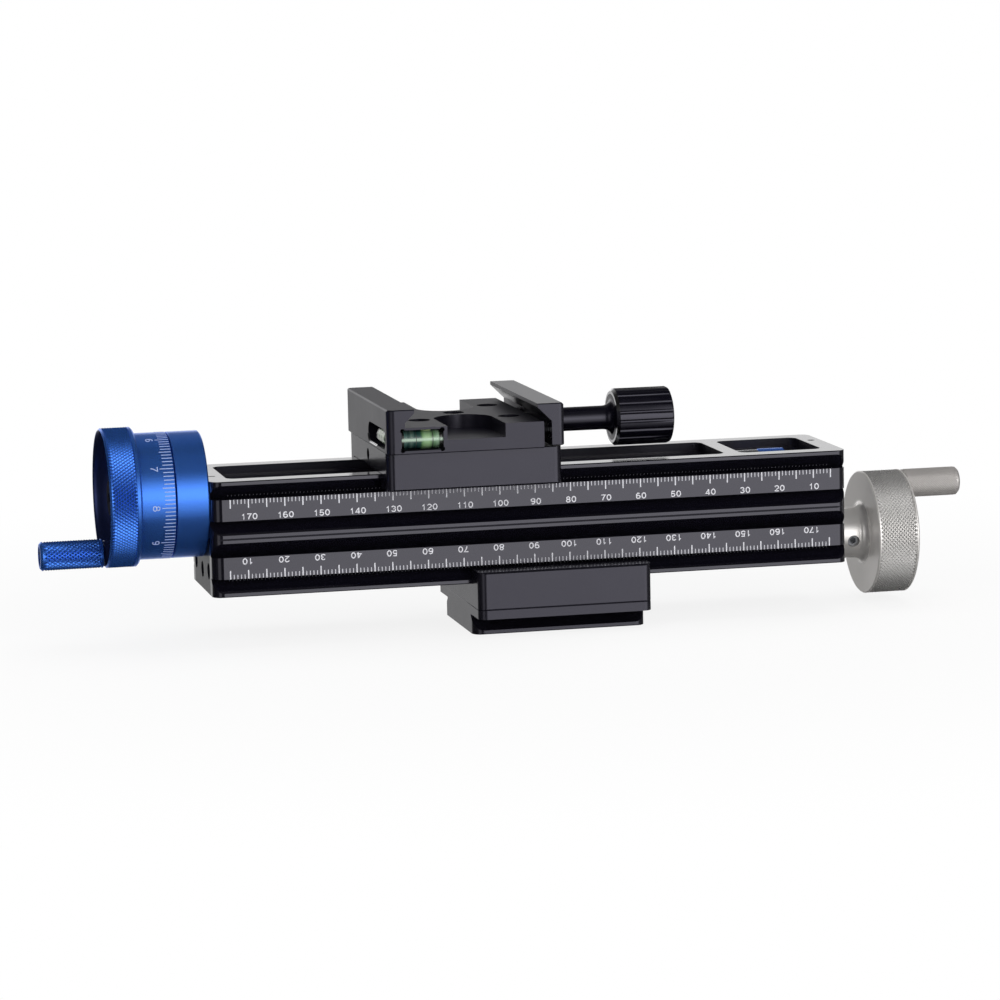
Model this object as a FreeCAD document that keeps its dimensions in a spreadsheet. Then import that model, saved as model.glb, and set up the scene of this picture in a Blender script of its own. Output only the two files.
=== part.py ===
import FreeCAD, Part
import math
import os
import Sketcher

# Macro focusing rail. Two dovetail rails are bolted back to back. The lower one runs in a
# carriage whose foot is itself a camera dovetail. The upper one carries a second carriage with
# a quick-release clamp. Each deck has its own captive lead screw: the graduated drum at the
# left end drives the clamp, the plain crank at the right end drives the rails over the foot.
#
# Frame, in mm: +X along the rails to the crank, +Y to the back, +Z up. The origin is the middle
# of the foot's bottom face, and the rails stand where they are focused.
#
# Both decks are the same design. A deck's own frame starts at the middle of the rails, with
# x along them and z away from the joint between them. The lower deck is that frame turned
# half way round the Y axis.

doc = FreeCAD.newDocument("focusing_rail")
sheet = doc.addObject("Spreadsheet::Sheet", "sizes")
Vector = FreeCAD.Vector
Rotation = FreeCAD.Rotation


class Measure:
    """A length with its value and the expression that keeps it tied to the sheet."""

    def __init__(self, value, text):
        self.value = value
        self.text = text

    def joined(self, other, sign, value):
        return Measure(value, "(" + self.text + " " + sign + " " + other.text + ")")

    def __add__(self, other):
        other = measure(other)
        return self.joined(other, "+", self.value + other.value)

    def __radd__(self, other):
        return measure(other) + self

    def __sub__(self, other):
        other = measure(other)
        return self.joined(other, "-", self.value - other.value)

    def __rsub__(self, other):
        return measure(other) - self

    def __mul__(self, other):
        other = measure(other)
        return self.joined(other, "*", self.value * other.value)

    def __rmul__(self, other):
        return measure(other) * self

    def __truediv__(self, other):
        other = measure(other)
        return self.joined(other, "/", self.value / other.value)

    def __neg__(self):
        return Measure(-self.value, "(0 - " + self.text + ")")


def measure(number):
    """Any number as a Measure, so that lengths and plain numbers mix."""
    if isinstance(number, Measure):
        return number
    return Measure(float(number), repr(float(number)))


def size(alias, value, note):
    """One driving dimension: a row of the sheet, named by its alias."""
    row = size.rows = size.rows + 1
    sheet.set("A%d" % row, note)
    sheet.set("B%d" % row, str(value))
    sheet.setAlias("B%d" % row, alias)
    return Measure(float(value), "sizes." + alias)


size.rows = 0

# Rails
rail_length = size("rail_length", 180, "length of both rails")
rail_width = size("rail_width", 38, "width over the dovetails, the camera plate standard")
flange_edge = size("flange_edge", 1.1, "upright edge of each dovetail flange")
groove_depth = size("groove_depth", 3.9, "depth and height of the 45 degree slopes")
strip_height = size("strip_height", 5.9, "height of the raised scale strip")
edge_chamfer = size("edge_chamfer", 0.25, "chamfer on long edges and along seams")
rail_corner = size("rail_corner", 3, "corner radius of the rails seen from above")
mouth_width = size("mouth_width", 26.8, "width of the slot where it opens")
mouth_depth = size("mouth_depth", 2.6, "depth of that wide part")
channel_width = size("channel_width", 21, "width of the screw channel below it")
floor_thickness = size("floor_thickness", 3, "metal left under the channel")
slot_corner = size("slot_corner", 2.5, "corner radius of the slot and the window")
end_wall = size("end_wall", 5.4, "wall at each end of a rail")
bridge_thickness = size("bridge_thickness", 4.5, "wall between the slot and the window")
window_length = size("window_length", 23.7, "length of the window over the screw's far end")
end_hole_spread = size("end_hole_spread", 11, "end screw holes, out from the middle")
end_hole_radius = size("end_hole_radius", 2.25, "radius of the holes in the far end face")
joining_inset = size("joining_inset", 40, "outer joining screws from the ends of the rails")

# Lead screws
axis_height = size("axis_height", 10.55, "screw axis above the joint between the rails")
thread_radius = size("thread_radius", 3, "outside radius of the lead screw thread, 6 by 1")
journal_radius = size("journal_radius", 2.5, "radius of the plain ends of the lead screw")
running_gap = size("running_gap", 0.05, "radial clearance of every running fit")
bush_wall = size("bush_wall", 1.2, "wall of the bearing bushes")
stop_collar_length = size("stop_collar_length", 7.8, "blue collar on the screw's far end")
stop_collar_radius = size("stop_collar_radius", 4.4, "radius of that collar")
shoulder_length = size("shoulder_length", 8.3, "steel nut between the bridge and the blue collar")
shoulder_radius = size("shoulder_radius", 4.2, "radius of that nut")
tapped_depth = size("tapped_depth", 8, "depth of the thread in a lead screw's driven end")

# Carriages
saddle_length = size("saddle_length", 49, "carriage size along the rails")
saddle_depth = size("saddle_depth", 53.4, "carriage size from front to back")
saddle_corner = size("saddle_corner", 2.2, "corner radius of the carriages")
roof_thickness = size("roof_thickness", 6.2, "metal over the rail")
skirt_depth = size("skirt_depth", 4.1, "skirt hanging below the face of the rail")
slide_gap = size("slide_gap", 0.1, "play of the carriages on the rails")
gib_width = size("gib_width", 2, "thickness of the adjusting strip behind the rail")
nut_length = size("nut_length", 20, "length of the nut block")
nut_width = size("nut_width", 17, "width of the nut block")
nut_drop = size("nut_drop", 5.3, "height of the nut block over the joint between the rails")
nut_key = size("nut_key", 1.5, "how far the nut block goes into the carriage")
nut_screw_inset = size("nut_screw_inset", 3, "nut screws from the ends of the nut block")
gib_screw_inset = size("gib_screw_inset", 10.5, "adjusting screws from the carriage's ends")
rail_rest = size("rail_rest", -6.6, "middle of the rails from the foot, as focused")
carriage_rest = size("carriage_rest", -18.2, "clamp carriage from the middle, as focused")

# Foot
foot_flange = size("foot_flange", 2.7, "plate between the carriage and the foot dovetail")
foot_neck = size("foot_neck", 0.4, "upright neck above the slopes of the foot")
foot_corner = size("foot_corner", 3, "corner radius of the foot")
tripod_radius = size("tripod_radius", 3.97, "inside radius of the three-eighths tripod thread")
stop_head_radius = size("stop_head_radius", 3.5, "radius of the stop screw heads")
stop_head_height = size("stop_head_height", 1.8, "height of those heads")
stop_screw_inset = size("stop_screw_inset", 4.2, "stop screws from the ends of the foot")
stop_screw_length = size("stop_screw_length", 4.6, "shank of the stop screws")
foot_screw_inset = size("foot_screw_inset", 9.5, "foot screws from the ends of the foot")
foot_screw_margin = size("foot_screw_margin", 5.5, "foot screws from its long edges")
foot_head_radius = size("foot_head_radius", 4, "countersunk heads of the foot screws")

# Graduated drum, left end
collar_length = size("collar_length", 8.9, "plain fixed collar against the rail")
drum_radius = size("drum_radius", 17.4, "radius of the collar and of the graduated sleeve")
drum_seam = size("drum_seam", 0.3, "open seam between the collar and the sleeve")
sleeve_length = size("sleeve_length", 9.3, "length of the graduated sleeve")
rim_length = size("rim_length", 8.8, "length of the knurled rim")
rim_radius = size("rim_radius", 19.2, "radius of the knurled rim")
rim_chamfer = size("rim_chamfer", 0.5, "chamfer on the rim")
knurl_depth = size("knurl_depth", 0.3, "depth of the knurled bands, cut to the knurl's root")
knurl_land = size("knurl_land", 0.3, "plain land beside a knurled band")
rim_land = size("rim_land", 0.6, "plain land on the rim's right edge")
drum_cavity = size("drum_cavity", 15.2, "radius of the hollow inside the collar")
collar_floor = size("collar_floor", 3, "floor of the collar, against the rail")
drum_hub_radius = size("drum_hub_radius", 6, "hub inside the drum")
dish_radius = size("dish_radius", 10.6, "radius of the dish in the drum's outer face")
dish_depth = size("dish_depth", 4, "depth of the dish")

# Crank, right end
hub_radius = size("hub_radius", 7.2, "radius of the crank's hub")
hub_gap = size("hub_gap", 0.3, "gap between the hub and the rail")
hub_length = size("hub_length", 9.8, "length of the hub up to the wheel")
hub_fillet = size("hub_fillet", 2.4, "fillet between the hub and the wheel")
wheel_radius = size("wheel_radius", 17.45, "radius of the knurled wheel")
wheel_width = size("wheel_width", 11.95, "width of the wheel")
wheel_chamfer = size("wheel_chamfer", 0.3, "chamfer on the wheel")

# Handles
handle_radius = size("handle_radius", 4, "radius of both handles")
drum_handle_length = size("drum_handle_length", 17.6, "length of the drum's handle")
crank_handle_length = size("crank_handle_length", 16.8, "length of the crank's handle")
handle_gap = size("handle_gap", 0.15, "play between a handle and its wheel")
handle_chamfer = size("handle_chamfer", 0.6, "chamfer on the handles")
handle_pin_radius = size("handle_pin_radius", 1.7, "radius of the pins the handles turn on")

# Clamp
clamp_depth = size("clamp_depth", 58.6, "clamp size from front to back")
clamp_left = size("clamp_left", -24.7, "outer face of the fixed jaw from the carriage's middle")
clamp_right = size("clamp_right", 18.9, "right end of the clamp body")
clamp_corner = size("clamp_corner", 2, "corner radius of the fixed jaw")
deck_height = size("deck_height", 7.3, "seat of the camera plate above the carriage")
jaw_height = size("jaw_height", 12.2, "top of the jaws above the carriage")
lip_edge = size("lip_edge", 1, "upright edge of the jaw lips")
fixed_wall = size("fixed_wall", -19.8, "foot of the fixed jaw's inner face")
fixed_rise = size("fixed_rise", 1.3, "upright part of that face")
moving_wall = size("moving_wall", 21.1, "inner face of the moving jaw, as opened")
jaw_thickness = size("jaw_thickness", 3.6, "thickness of the moving jaw")
jaw_lift = size("jaw_lift", 0.5, "gap between the moving jaw and the carriage")
jaw_chamfer = size("jaw_chamfer", 0.7, "chamfer along the top of the moving jaw")
jaw_corner = size("jaw_corner", 1.5, "upright corner radius of the moving jaw")
relief_width = size("relief_width", 16.2, "width of the two reliefs in the clamp body")
relief_reach = size("relief_reach", 24.6, "how far they reach in")
relief_drop = size("relief_drop", 3.8, "how deep they are")
bolt_height = size("bolt_height", 3.9, "clamp bolt axis above the carriage")
clamp_screw_x = size("clamp_screw_x", 12.6, "corner clamp screws from the middle, along the rail")
clamp_screw_inset = size("clamp_screw_inset", 15.9, "corner clamp screws from the clamp's faces")
bolt_radius = size("bolt_radius", 2.5, "radius of the clamp bolt")
guide_pin_radius = size("guide_pin_radius", 1.5, "radius of the jaw's guide pins")
guide_pin_inset = size("guide_pin_inset", 9.3, "guide pins from the clamp's faces")
guide_pin_reach = size("guide_pin_reach", 9.4, "depth of the guide pins in the clamp body")
bolt_tip = size("bolt_tip", 4, "inner end of the bolt's bore from the carriage's middle")
knob_neck_radius = size("knob_neck_radius", 3.35, "radius of the knob's neck")
knob_neck_length = size("knob_neck_length", 17.6, "length of the neck")
knob_flare_length = size("knob_flare_length", 2.2, "length of the flare into the knob")
knob_boss_radius = size("knob_boss_radius", 5.2, "radius of the flare where it meets the grip")
knob_radius = size("knob_radius", 8, "radius of the knob")
knob_length = size("knob_length", 17.15, "length of the knob's grip")
knob_chamfer = size("knob_chamfer", 1.2, "chamfer on the knob's ends")
flute_radius = size("flute_radius", 0.7, "radius of the flutes in the knob")
vial_radius = size("vial_radius", 2.85, "radius of the front level")
vial_length = size("vial_length", 11.6, "length of the front level")
vial_left = size("vial_left", -20.8, "left end of the front level")
side_vial_radius = size("side_vial_radius", 2.5, "radius of the side level")
side_vial_length = size("side_vial_length", 10, "length of the side level")
side_vial_inset = size("side_vial_inset", 6, "front end of the side level from the clamp's face")
side_slot_radius = size("side_slot_radius", 2.75, "radius of the slot it lies in")
side_slot_inset = size("side_slot_inset", 3, "front end of that slot from the clamp's face")
side_slot_length = size("side_slot_length", 24.1, "length of that slot")

# Screws
small_screw_radius = size("small_screw_radius", 1.5, "M3 screws")
small_head_radius = size("small_head_radius", 2.75, "heads of the M3 screws")
small_head_height = size("small_head_height", 2.2, "height of those heads")
large_screw_radius = size("large_screw_radius", 2, "M4 screws")
thread_play = size("thread_play", 0.02, "radial play of the screws in their holes")

# Derived heights and places
rail_height = 2 * flange_edge + 2 * groove_depth + strip_height
saddle_top = rail_height + slide_gap + roof_thickness
saddle_bottom = rail_height - skirt_depth
foot_height = foot_flange + foot_neck + groove_depth + flange_edge
rail_mid = saddle_top + foot_height
half_rail = rail_length / 2
half_width = rail_width / 2
slot_left = end_wall - half_rail
window_right = half_rail - end_wall
window_left = window_right - window_length
slot_right = window_left - bridge_thickness
clamp_deck = saddle_top + deck_height
clamp_top = saddle_top + jaw_height
bolt_axis = saddle_top + bolt_height
clamp_screw_y = clamp_depth / 2 - clamp_screw_inset
guide_pin_spread = clamp_depth / 2 - guide_pin_inset
side_vial_front = side_vial_inset - clamp_depth / 2
foot_screw_x = saddle_length / 2 - foot_screw_inset
foot_screw_y = half_width - foot_screw_margin
gib_screw_place = saddle_length / 2 - gib_screw_inset
nut_screw_place = nut_length / 2 - nut_screw_inset
joining_place = half_rail - joining_inset
fixed_bore = journal_radius + thread_play


# ---------------------------------------------------------------- building blocks

def bind(thing, **lengths):
    """Ties properties of an object to the sheet; base_x and the like mean its position."""
    for name, length in lengths.items():
        path = name
        if name.startswith("base_"):
            path = "Placement.Base." + name[-1]
        thing.setExpression(path, measure(length).text)


def at(thing, x, y, z, turn=None):
    """Stands an object at a place in the frame it is modelled in."""
    spot = Vector(measure(x).value, measure(y).value, measure(z).value)
    thing.Placement = FreeCAD.Placement(spot, turn or Rotation())
    bind(thing, base_x=x, base_y=y, base_z=z)
    return thing


def on_deck(thing, deck, x=0, y=0, z=0, turn=None):
    """Stands a finished object on the upper or the lower deck."""
    turn = turn or Rotation()
    if deck == "upper":
        return at(thing, rail_rest + x, y, rail_mid + z, turn)
    half_turn = Rotation(Vector(0, 1, 0), 180)
    return at(thing, rail_rest - x, y, rail_mid - z, half_turn.multiply(turn))


def block(name, x, y, z, along, across, up):
    """A box from its low corner and its three sizes."""
    box = doc.addObject("Part::Box", name)
    bind(box, Length=along, Width=across, Height=up)
    return at(box, x, y, z)


TURNS = {
    "right": Rotation(),
    "left": Rotation(Vector(0, 0, 1), 180),
    "back": Rotation(Vector(0, 0, 1), 90),
    "front": Rotation(Vector(0, 0, 1), -90),
    "up": Rotation(Vector(0, 1, 0), -90),
    "down": Rotation(Vector(0, 1, 0), 90),
}
DRILL_TURNS = {
    "right": Rotation(Vector(0, 1, 0), 90),
    "back": Rotation(Vector(1, 0, 0), -90),
    "up": Rotation(),
}


def rod(name, way, x, y, z, length, radius):
    """A cylinder that starts at a point and runs right, back or up."""
    cylinder = doc.addObject("Part::Cylinder", name)
    bind(cylinder, Radius=radius, Height=length)
    return at(cylinder, x, y, z, DRILL_TURNS[way])


def outline(body, name, points):
    """A closed sketch of straight lines, with every corner tied to the sheet."""
    sketch = body.newObject("Sketcher::SketchObject", name)
    corners = [(measure(a), measure(b)) for a, b in points]
    flat = [Vector(a.value, b.value, 0) for a, b in corners]
    for index in range(len(flat)):
        following = flat[(index + 1) % len(flat)]
        sketch.addGeometry(Part.LineSegment(flat[index], following), False)
    for index in range(len(flat)):
        following = (index + 1) % len(flat)
        sketch.addConstraint(Sketcher.Constraint("Coincident", index, 2, following, 1))
    for index, corner in enumerate(corners):
        for kind, axis, length in (("DistanceX", -2, corner[0]), ("DistanceY", -1, corner[1])):
            if length.text == "0.0":
                sketch.addConstraint(Sketcher.Constraint("PointOnObject", index, 1, axis))
                continue
            rule = Sketcher.Constraint(kind, -1, 1, index, 1, length.value)
            number = sketch.addConstraint(rule)
            sketch.setExpression("Constraints[%d]" % number, length.text)
    return sketch


def turned(name, points):
    """A lathe part: the outline is (distance along x, radius)."""
    body = doc.addObject("PartDesign::Body", name)
    sketch = outline(body, name + "_profile", points)
    spin = body.newObject("PartDesign::Revolution", name + "_turned")
    spin.Profile = sketch
    spin.ReferenceAxis = (sketch, ["H_Axis"])
    spin.Angle = 360
    body.Tip = spin
    return body


def extruded(name, points, length):
    """An outline drawn flat and raised by a length."""
    body = doc.addObject("PartDesign::Body", name)
    sketch = outline(body, name + "_profile", points)
    pad = body.newObject("PartDesign::Pad", name + "_pad")
    pad.Profile = sketch
    bind(pad, Length=length)
    body.Tip = pad
    doc.recompute()
    return body


def along_x(name, points, start, length):
    """A section in (y, z) run along the rail."""
    return at(extruded(name, points, length), start, 0, 0, Rotation(Vector(1, 1, 1), 120))


def along_y(name, points, length):
    """A section in (x, z) run from front to back, centred on the rail."""
    return at(extruded(name, points, length), 0, length / 2, 0, Rotation(Vector(1, 0, 0), 90))


def rounded(body, radius, chosen):
    """Fillets the edges of a body's last feature that pass a test."""
    feature = body.Tip
    names = []
    for number, edge in enumerate(feature.Shape.Edges, 1):
        if chosen(edge):
            names.append("Edge%d" % number)
    fillet = body.newObject("PartDesign::Fillet", body.Name + "_fillet")
    fillet.Base = (feature, names)
    bind(fillet, Radius=radius)
    body.Tip = fillet
    return body


def chamfered(body, length, chosen):
    """Chamfers the edges of a body's last feature that pass a test."""
    feature = body.Tip
    names = []
    for number, edge in enumerate(feature.Shape.Edges, 1):
        if chosen(edge):
            names.append("Edge%d" % number)
    chamfer = body.newObject("PartDesign::Chamfer", body.Name + "_chamfer")
    chamfer.Base = (feature, names)
    bind(chamfer, Size=length)
    body.Tip = chamfer
    return body


def lowest(edge):
    """True for the edges round the bottom of a block that is drawn from z = 0 up."""
    return edge.BoundBox.ZMax < 0.001


def upright(edge):
    """True for straight edges along z."""
    ends = edge.Vertexes
    if len(ends) != 2:
        return False
    reach = ends[1].Point - ends[0].Point
    return abs(reach.z) > 0.01 and abs(reach.x) < 1e-6 and abs(reach.y) < 1e-6


def plan_block(name, left, right, front, back, low, high, radius, chosen=upright):
    """A block with rounded upright corners."""
    corners = [(left, front), (right, front), (right, back), (left, back)]
    body = extruded(name, corners, measure(high) - low)
    at(body, 0, 0, low)
    return rounded(body, radius, chosen)


def joined(name, parts):
    """One solid made of several that overlap."""
    union = doc.addObject("Part::MultiFuse", name)
    union.Shapes = parts
    union.Refine = True
    return union


def cut(name, base, tools):
    """A solid with others taken away."""
    tool = tools[0]
    if len(tools) > 1:
        tool = joined(name + "_tools", tools)
    result = doc.addObject("Part::Cut", name)
    result.Base = base
    result.Tool = tool
    result.Refine = True
    return result


def overlap(name, first, second):
    """What two solids share."""
    result = doc.addObject("Part::Common", name)
    result.Base = first
    result.Tool = second
    result.Refine = True
    return result


nodes = []


def node(name, thing):
    """Names a finished object; the name is its file's name too."""
    thing.Label = name
    nodes.append((name, thing))
    return thing


def cap_screw(name, length, shank, head, height):
    """A socket head screw: the head's seat is at x = 0 and the tip points to -x."""
    edge = height * 0.12
    points = [
        (-length, 0),
        (-length, shank - 0.3),
        (0.3 - length, shank),
        (0, shank),
        (0, head),
        (height - edge, head),
        (height, head - edge),
        (height, 0),
    ]
    return socketed(name, turned(name + "_blank", points), height, shank * 0.95, height * 0.6)


def grub_screw(name, length, shank):
    """A headless screw: its outer end is at x = 0 and the tip points to -x."""
    points = [
        (-length, 0),
        (-length, shank - 0.4),
        (0.4 - length, shank),
        (-0.2, shank),
        (0, shank - 0.2),
        (0, 0),
    ]
    return socketed(name, turned(name + "_blank", points), measure(0), shank * 0.6, shank * 1.1)


def flat_screw(name, length, shank, head):
    """A countersunk screw: its face is at x = 0."""
    points = [
        (-length, 0),
        (-length, shank),
        (shank - head, shank),
        (-0.2, head - 0.2),
        (0, head - 0.2),
        (0, 0),
    ]
    return socketed(name, turned(name + "_blank", points), measure(0), shank * 0.8, shank)


def socketed(name, blank, top, key, depth):
    """Sinks a hexagon socket in the +x end of a screw."""
    hexagon = doc.addObject("Part::Prism", name + "_key")
    hexagon.Polygon = 6
    bind(hexagon, Circumradius=key, Height=depth + 0.5)
    at(hexagon, top - depth, 0, 0, DRILL_TURNS["right"])
    return cut(name + "_screw", blank, [hexagon])


# ---------------------------------------------------------------- rails

def rail_section():
    """The double dovetail section, in (y, z), from the joint up."""
    levels = [
        (edge_chamfer, measure(0)),
        (measure(0), edge_chamfer),
        (measure(0), flange_edge),
        (groove_depth, flange_edge + groove_depth),
        (measure(0), flange_edge + groove_depth),
        (measure(0), flange_edge + groove_depth + strip_height),
        (groove_depth, flange_edge + groove_depth + strip_height),
        (measure(0), rail_height - flange_edge),
        (measure(0), rail_height - edge_chamfer),
        (edge_chamfer, rail_height),
    ]
    front = [(inset - half_width, level) for inset, level in levels]
    back = [(half_width - inset, level) for inset, level in reversed(levels)]
    return front + back


def pocket(name, left, right, width, low):
    """A rounded pocket open at the rail's face."""
    return plan_block(
        name, left, right, -width / 2, width / 2, low, rail_height + 1, slot_corner
    )


def rail(deck):
    """One rail with its slot, its window, its bores and its end holes."""
    bar = along_x(deck + "_bar", rail_section(), -half_rail, rail_length)
    ends = plan_block(
        deck + "_ends", -half_rail, half_rail, -half_width, half_width,
        measure(0), rail_height, rail_corner,
    )
    blank = overlap(deck + "_blank", bar, ends)
    mouth_low = rail_height - mouth_depth
    bore = journal_radius + bush_wall
    tools = [
        pocket(deck + "_slot", slot_left, slot_right, mouth_width, mouth_low),
        pocket(deck + "_channel", slot_left, slot_right, channel_width, floor_thickness),
        pocket(deck + "_window", window_left, window_right, mouth_width, mouth_low),
        pocket(deck + "_well", window_left, window_right, channel_width, floor_thickness),
        rod(deck + "_near_bore", "right", -half_rail - 1, 0, axis_height, end_wall + 2, bore),
        rod(
            deck + "_far_bore", "right", slot_right - 1, 0, axis_height,
            bridge_thickness + 2, journal_radius + running_gap,
        ),
        rod(
            deck + "_end_bore", "right", window_right - 1, 0, axis_height,
            end_wall + 2, end_hole_radius,
        ),
    ]
    for side, way in (("front", -1), ("back", 1)):
        tools.append(rod(
            deck + "_end_hole_" + side, "right", half_rail - 4, way * end_hole_spread,
            axis_height - 1, measure(5), end_hole_radius,
        ))
        tools.append(rod(
            deck + "_collar_hole_" + side, "right", -half_rail - 1, way * end_hole_spread,
            axis_height, measure(5.6), small_screw_radius + thread_play,
        ))
    tools.append(rod(
        deck + "_top_hole", "up", window_right + 2.6, measure(5.5), rail_height - 4,
        measure(5), measure(1),
    ))
    side = 1 if deck == "upper" else -1
    for number, place in enumerate(JOINING_PLACES, 1):
        tools.append(rod(
            deck + "_joining_hole_%d" % number, "up", side * place, 0, measure(-1),
            floor_thickness + 2, large_screw_radius + thread_play,
        ))
    return node(deck + "_rail", on_deck(cut(deck + "_rail_cut", blank, tools), deck))


# Places of the screws that join the rails, from the middle of the rails
JOINING_PLACES = [-joining_place, measure(0), joining_place]

rail("upper")
rail("lower")
for number, place in enumerate(JOINING_PLACES, 1):
    name = "joining_screw_%d" % number
    screw = cap_screw(
        name, 2 * floor_thickness - 0.2, large_screw_radius, measure(3.6), measure(1.8)
    )
    node(name, on_deck(screw, "upper", place, 0, floor_thickness, TURNS["up"]))

# ---------------------------------------------------------------- lead screws

drive_end = {
    # How far each screw reaches out of the rail at its driven end
    "upper": collar_length + drum_seam + sleeve_length + rim_length - dish_depth - 0.2,
    "lower": hub_gap + hub_length + wheel_width - 3,
}


def lead_screw(deck):
    """The captive screw: a thread between two plain journals, with its driven end tapped."""
    far_end = slot_right + bridge_thickness + 0.3 + shoulder_length + stop_collar_length + 0.8
    thread_start = slot_left + 0.3
    thread_end = slot_right - 0.2
    drive_tip = -half_rail - drive_end[deck]
    lead_in = thread_radius - journal_radius
    points = [
        (drive_tip + tapped_depth, 0),
        (drive_tip + tapped_depth, small_screw_radius + thread_play),
        (drive_tip, small_screw_radius + thread_play),
        (drive_tip, journal_radius - 0.4),
        (drive_tip + 0.4, journal_radius),
        (thread_start, journal_radius),
        (thread_start, thread_radius - lead_in / 2),
        (thread_start + lead_in / 2, thread_radius),
        (thread_end - lead_in / 2, thread_radius),
        (thread_end, thread_radius - lead_in / 2),
        (thread_end, journal_radius),
        (far_end - 0.4, journal_radius),
        (far_end, journal_radius - 0.4),
        (far_end, 0),
    ]
    screw = turned(deck + "_screw_body", points)
    return node(deck + "_lead_screw", on_deck(screw, deck, 0, 0, axis_height))


def near_bush(deck):
    """The plain bush in the end wall next to the drum or the crank."""
    inner = journal_radius + running_gap
    outer = journal_radius + bush_wall - thread_play
    points = [
        (-half_rail, inner),
        (-half_rail, outer),
        (slot_left, outer),
        (slot_left, inner),
    ]
    bush = turned(deck + "_bush_body", points)
    return node(deck + "_bush", on_deck(bush, deck, 0, 0, axis_height))


def far_retainers(deck):
    """The steel nut and the blue collar that hold the screw at the bridge."""
    start = window_left + 0.3
    middle = start + shoulder_length
    finish = middle + stop_collar_length
    steel = [
        (start, fixed_bore),
        (start, shoulder_radius - 0.4),
        (start + 0.4, shoulder_radius),
        (middle, shoulder_radius),
        (middle, fixed_bore),
    ]
    blue = [
        (middle, fixed_bore),
        (middle, stop_collar_radius - 0.4),
        (middle + 0.4, stop_collar_radius),
        (finish - 0.4, stop_collar_radius),
        (finish, stop_collar_radius - 0.4),
        (finish, fixed_bore),
    ]
    ring = turned(deck + "_lock_nut_body", steel)
    node(deck + "_lock_nut", on_deck(ring, deck, 0, 0, axis_height))
    ring = turned(deck + "_stop_collar_body", blue)
    node(deck + "_stop_collar", on_deck(ring, deck, 0, 0, axis_height))


for deck in ("upper", "lower"):
    lead_screw(deck)
    near_bush(deck)
    far_retainers(deck)

# ---------------------------------------------------------------- graduated drum

collar_left = -half_rail - collar_length
collar_points = [
    (collar_left, drum_cavity),
    (collar_left, drum_radius - 0.15),
    (collar_left + 0.15, drum_radius),
    (-half_rail - 0.4, drum_radius),
    (-half_rail, drum_radius - 0.4),
    (-half_rail, journal_radius + 0.4),
    (-half_rail - collar_floor, journal_radius + 0.4),
    (-half_rail - collar_floor, drum_cavity),
]
collar_holes = []
for side, way in (("front", -1), ("back", 1)):
    collar_holes.append(rod(
        "collar_bore_" + side, "right", -half_rail - collar_floor - 1,
        way * end_hole_spread, 0, collar_floor + 2, small_screw_radius + thread_play,
    ))
collar = cut("collar_cut", turned("collar_body", collar_points), collar_holes)
node("index_collar", on_deck(collar, "upper", 0, 0, axis_height))
for side, way in (("front", -1), ("back", 1)):
    name = "collar_screw_" + side
    screw = cap_screw(
        name, collar_floor + 4, small_screw_radius, small_head_radius, small_head_height
    )
    place = -half_rail - collar_floor
    node(name, on_deck(screw, "upper", place, way * end_hole_spread, axis_height, TURNS["left"]))

sleeve_right = collar_left - drum_seam
rim_right = sleeve_right - sleeve_length
rim_left = rim_right - rim_length
drum_hub_right = -half_rail - collar_floor - 0.3
drum_points = [
    (rim_left + dish_depth, fixed_bore),
    (rim_left + dish_depth, dish_radius - 0.8),
    (rim_left + 0.5, dish_radius - 0.3),
    (rim_left, dish_radius + 0.2),
    (rim_left, rim_radius - rim_chamfer),
    (rim_left + rim_chamfer, rim_radius),
    (rim_left + rim_chamfer, rim_radius - knurl_depth),
    (rim_right - rim_chamfer - rim_land, rim_radius - knurl_depth),
    (rim_right - rim_chamfer - rim_land, rim_radius),
    (rim_right - rim_chamfer, rim_radius),
    (rim_right, rim_radius - rim_chamfer),
    (rim_right, drum_radius),
    (sleeve_right - 0.15, drum_radius),
    (sleeve_right, drum_radius - 0.15),
    (sleeve_right, drum_cavity),
    (rim_right + 3, drum_cavity),
    (rim_right + 3, drum_hub_radius),
    (drum_hub_right, drum_hub_radius),
    (drum_hub_right, fixed_bore),
]
drum_handle_offset = rim_radius - handle_radius
drum_pin_hole = rod(
    "drum_pin_hole", "right", rim_left - 1, 0, -drum_handle_offset, measure(7),
    handle_pin_radius + thread_play
)
drum = cut("drum_cut", turned("drum_body", drum_points), [drum_pin_hole])
node("graduated_drum", on_deck(drum, "upper", 0, 0, axis_height))

drum_screw = cap_screw(
    "drum_screw", tapped_depth - 2, small_screw_radius, measure(5), measure(1.9)
)
drum_screw_placed = on_deck(
    drum_screw, "upper", rim_left + dish_depth, 0, axis_height, TURNS["left"]
)
node("drum_cap_screw", drum_screw_placed)


def handle(name, handle_length, knurled):
    """A handle on x, from its wheel face at 0 outwards, with a sunk seat for its pin's head."""
    inner = handle_pin_radius + running_gap
    seat = handle_pin_radius + 1
    points = [
        (handle_gap, inner),
        (handle_gap, handle_radius - 0.3),
        (handle_gap + 0.3, handle_radius),
        (handle_gap + 0.3 + knurl_land, handle_radius),
        (handle_gap + 0.3 + knurl_land, handle_radius - knurled),
        (handle_length - handle_chamfer - knurl_land, handle_radius - knurled),
        (handle_length - handle_chamfer - knurl_land, handle_radius),
        (handle_length - handle_chamfer, handle_radius),
        (handle_length, handle_radius - handle_chamfer),
        (handle_length, seat),
        (handle_length - 2, seat),
        (handle_length - 2, inner),
    ]
    return turned(name + "_body", points)


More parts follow.
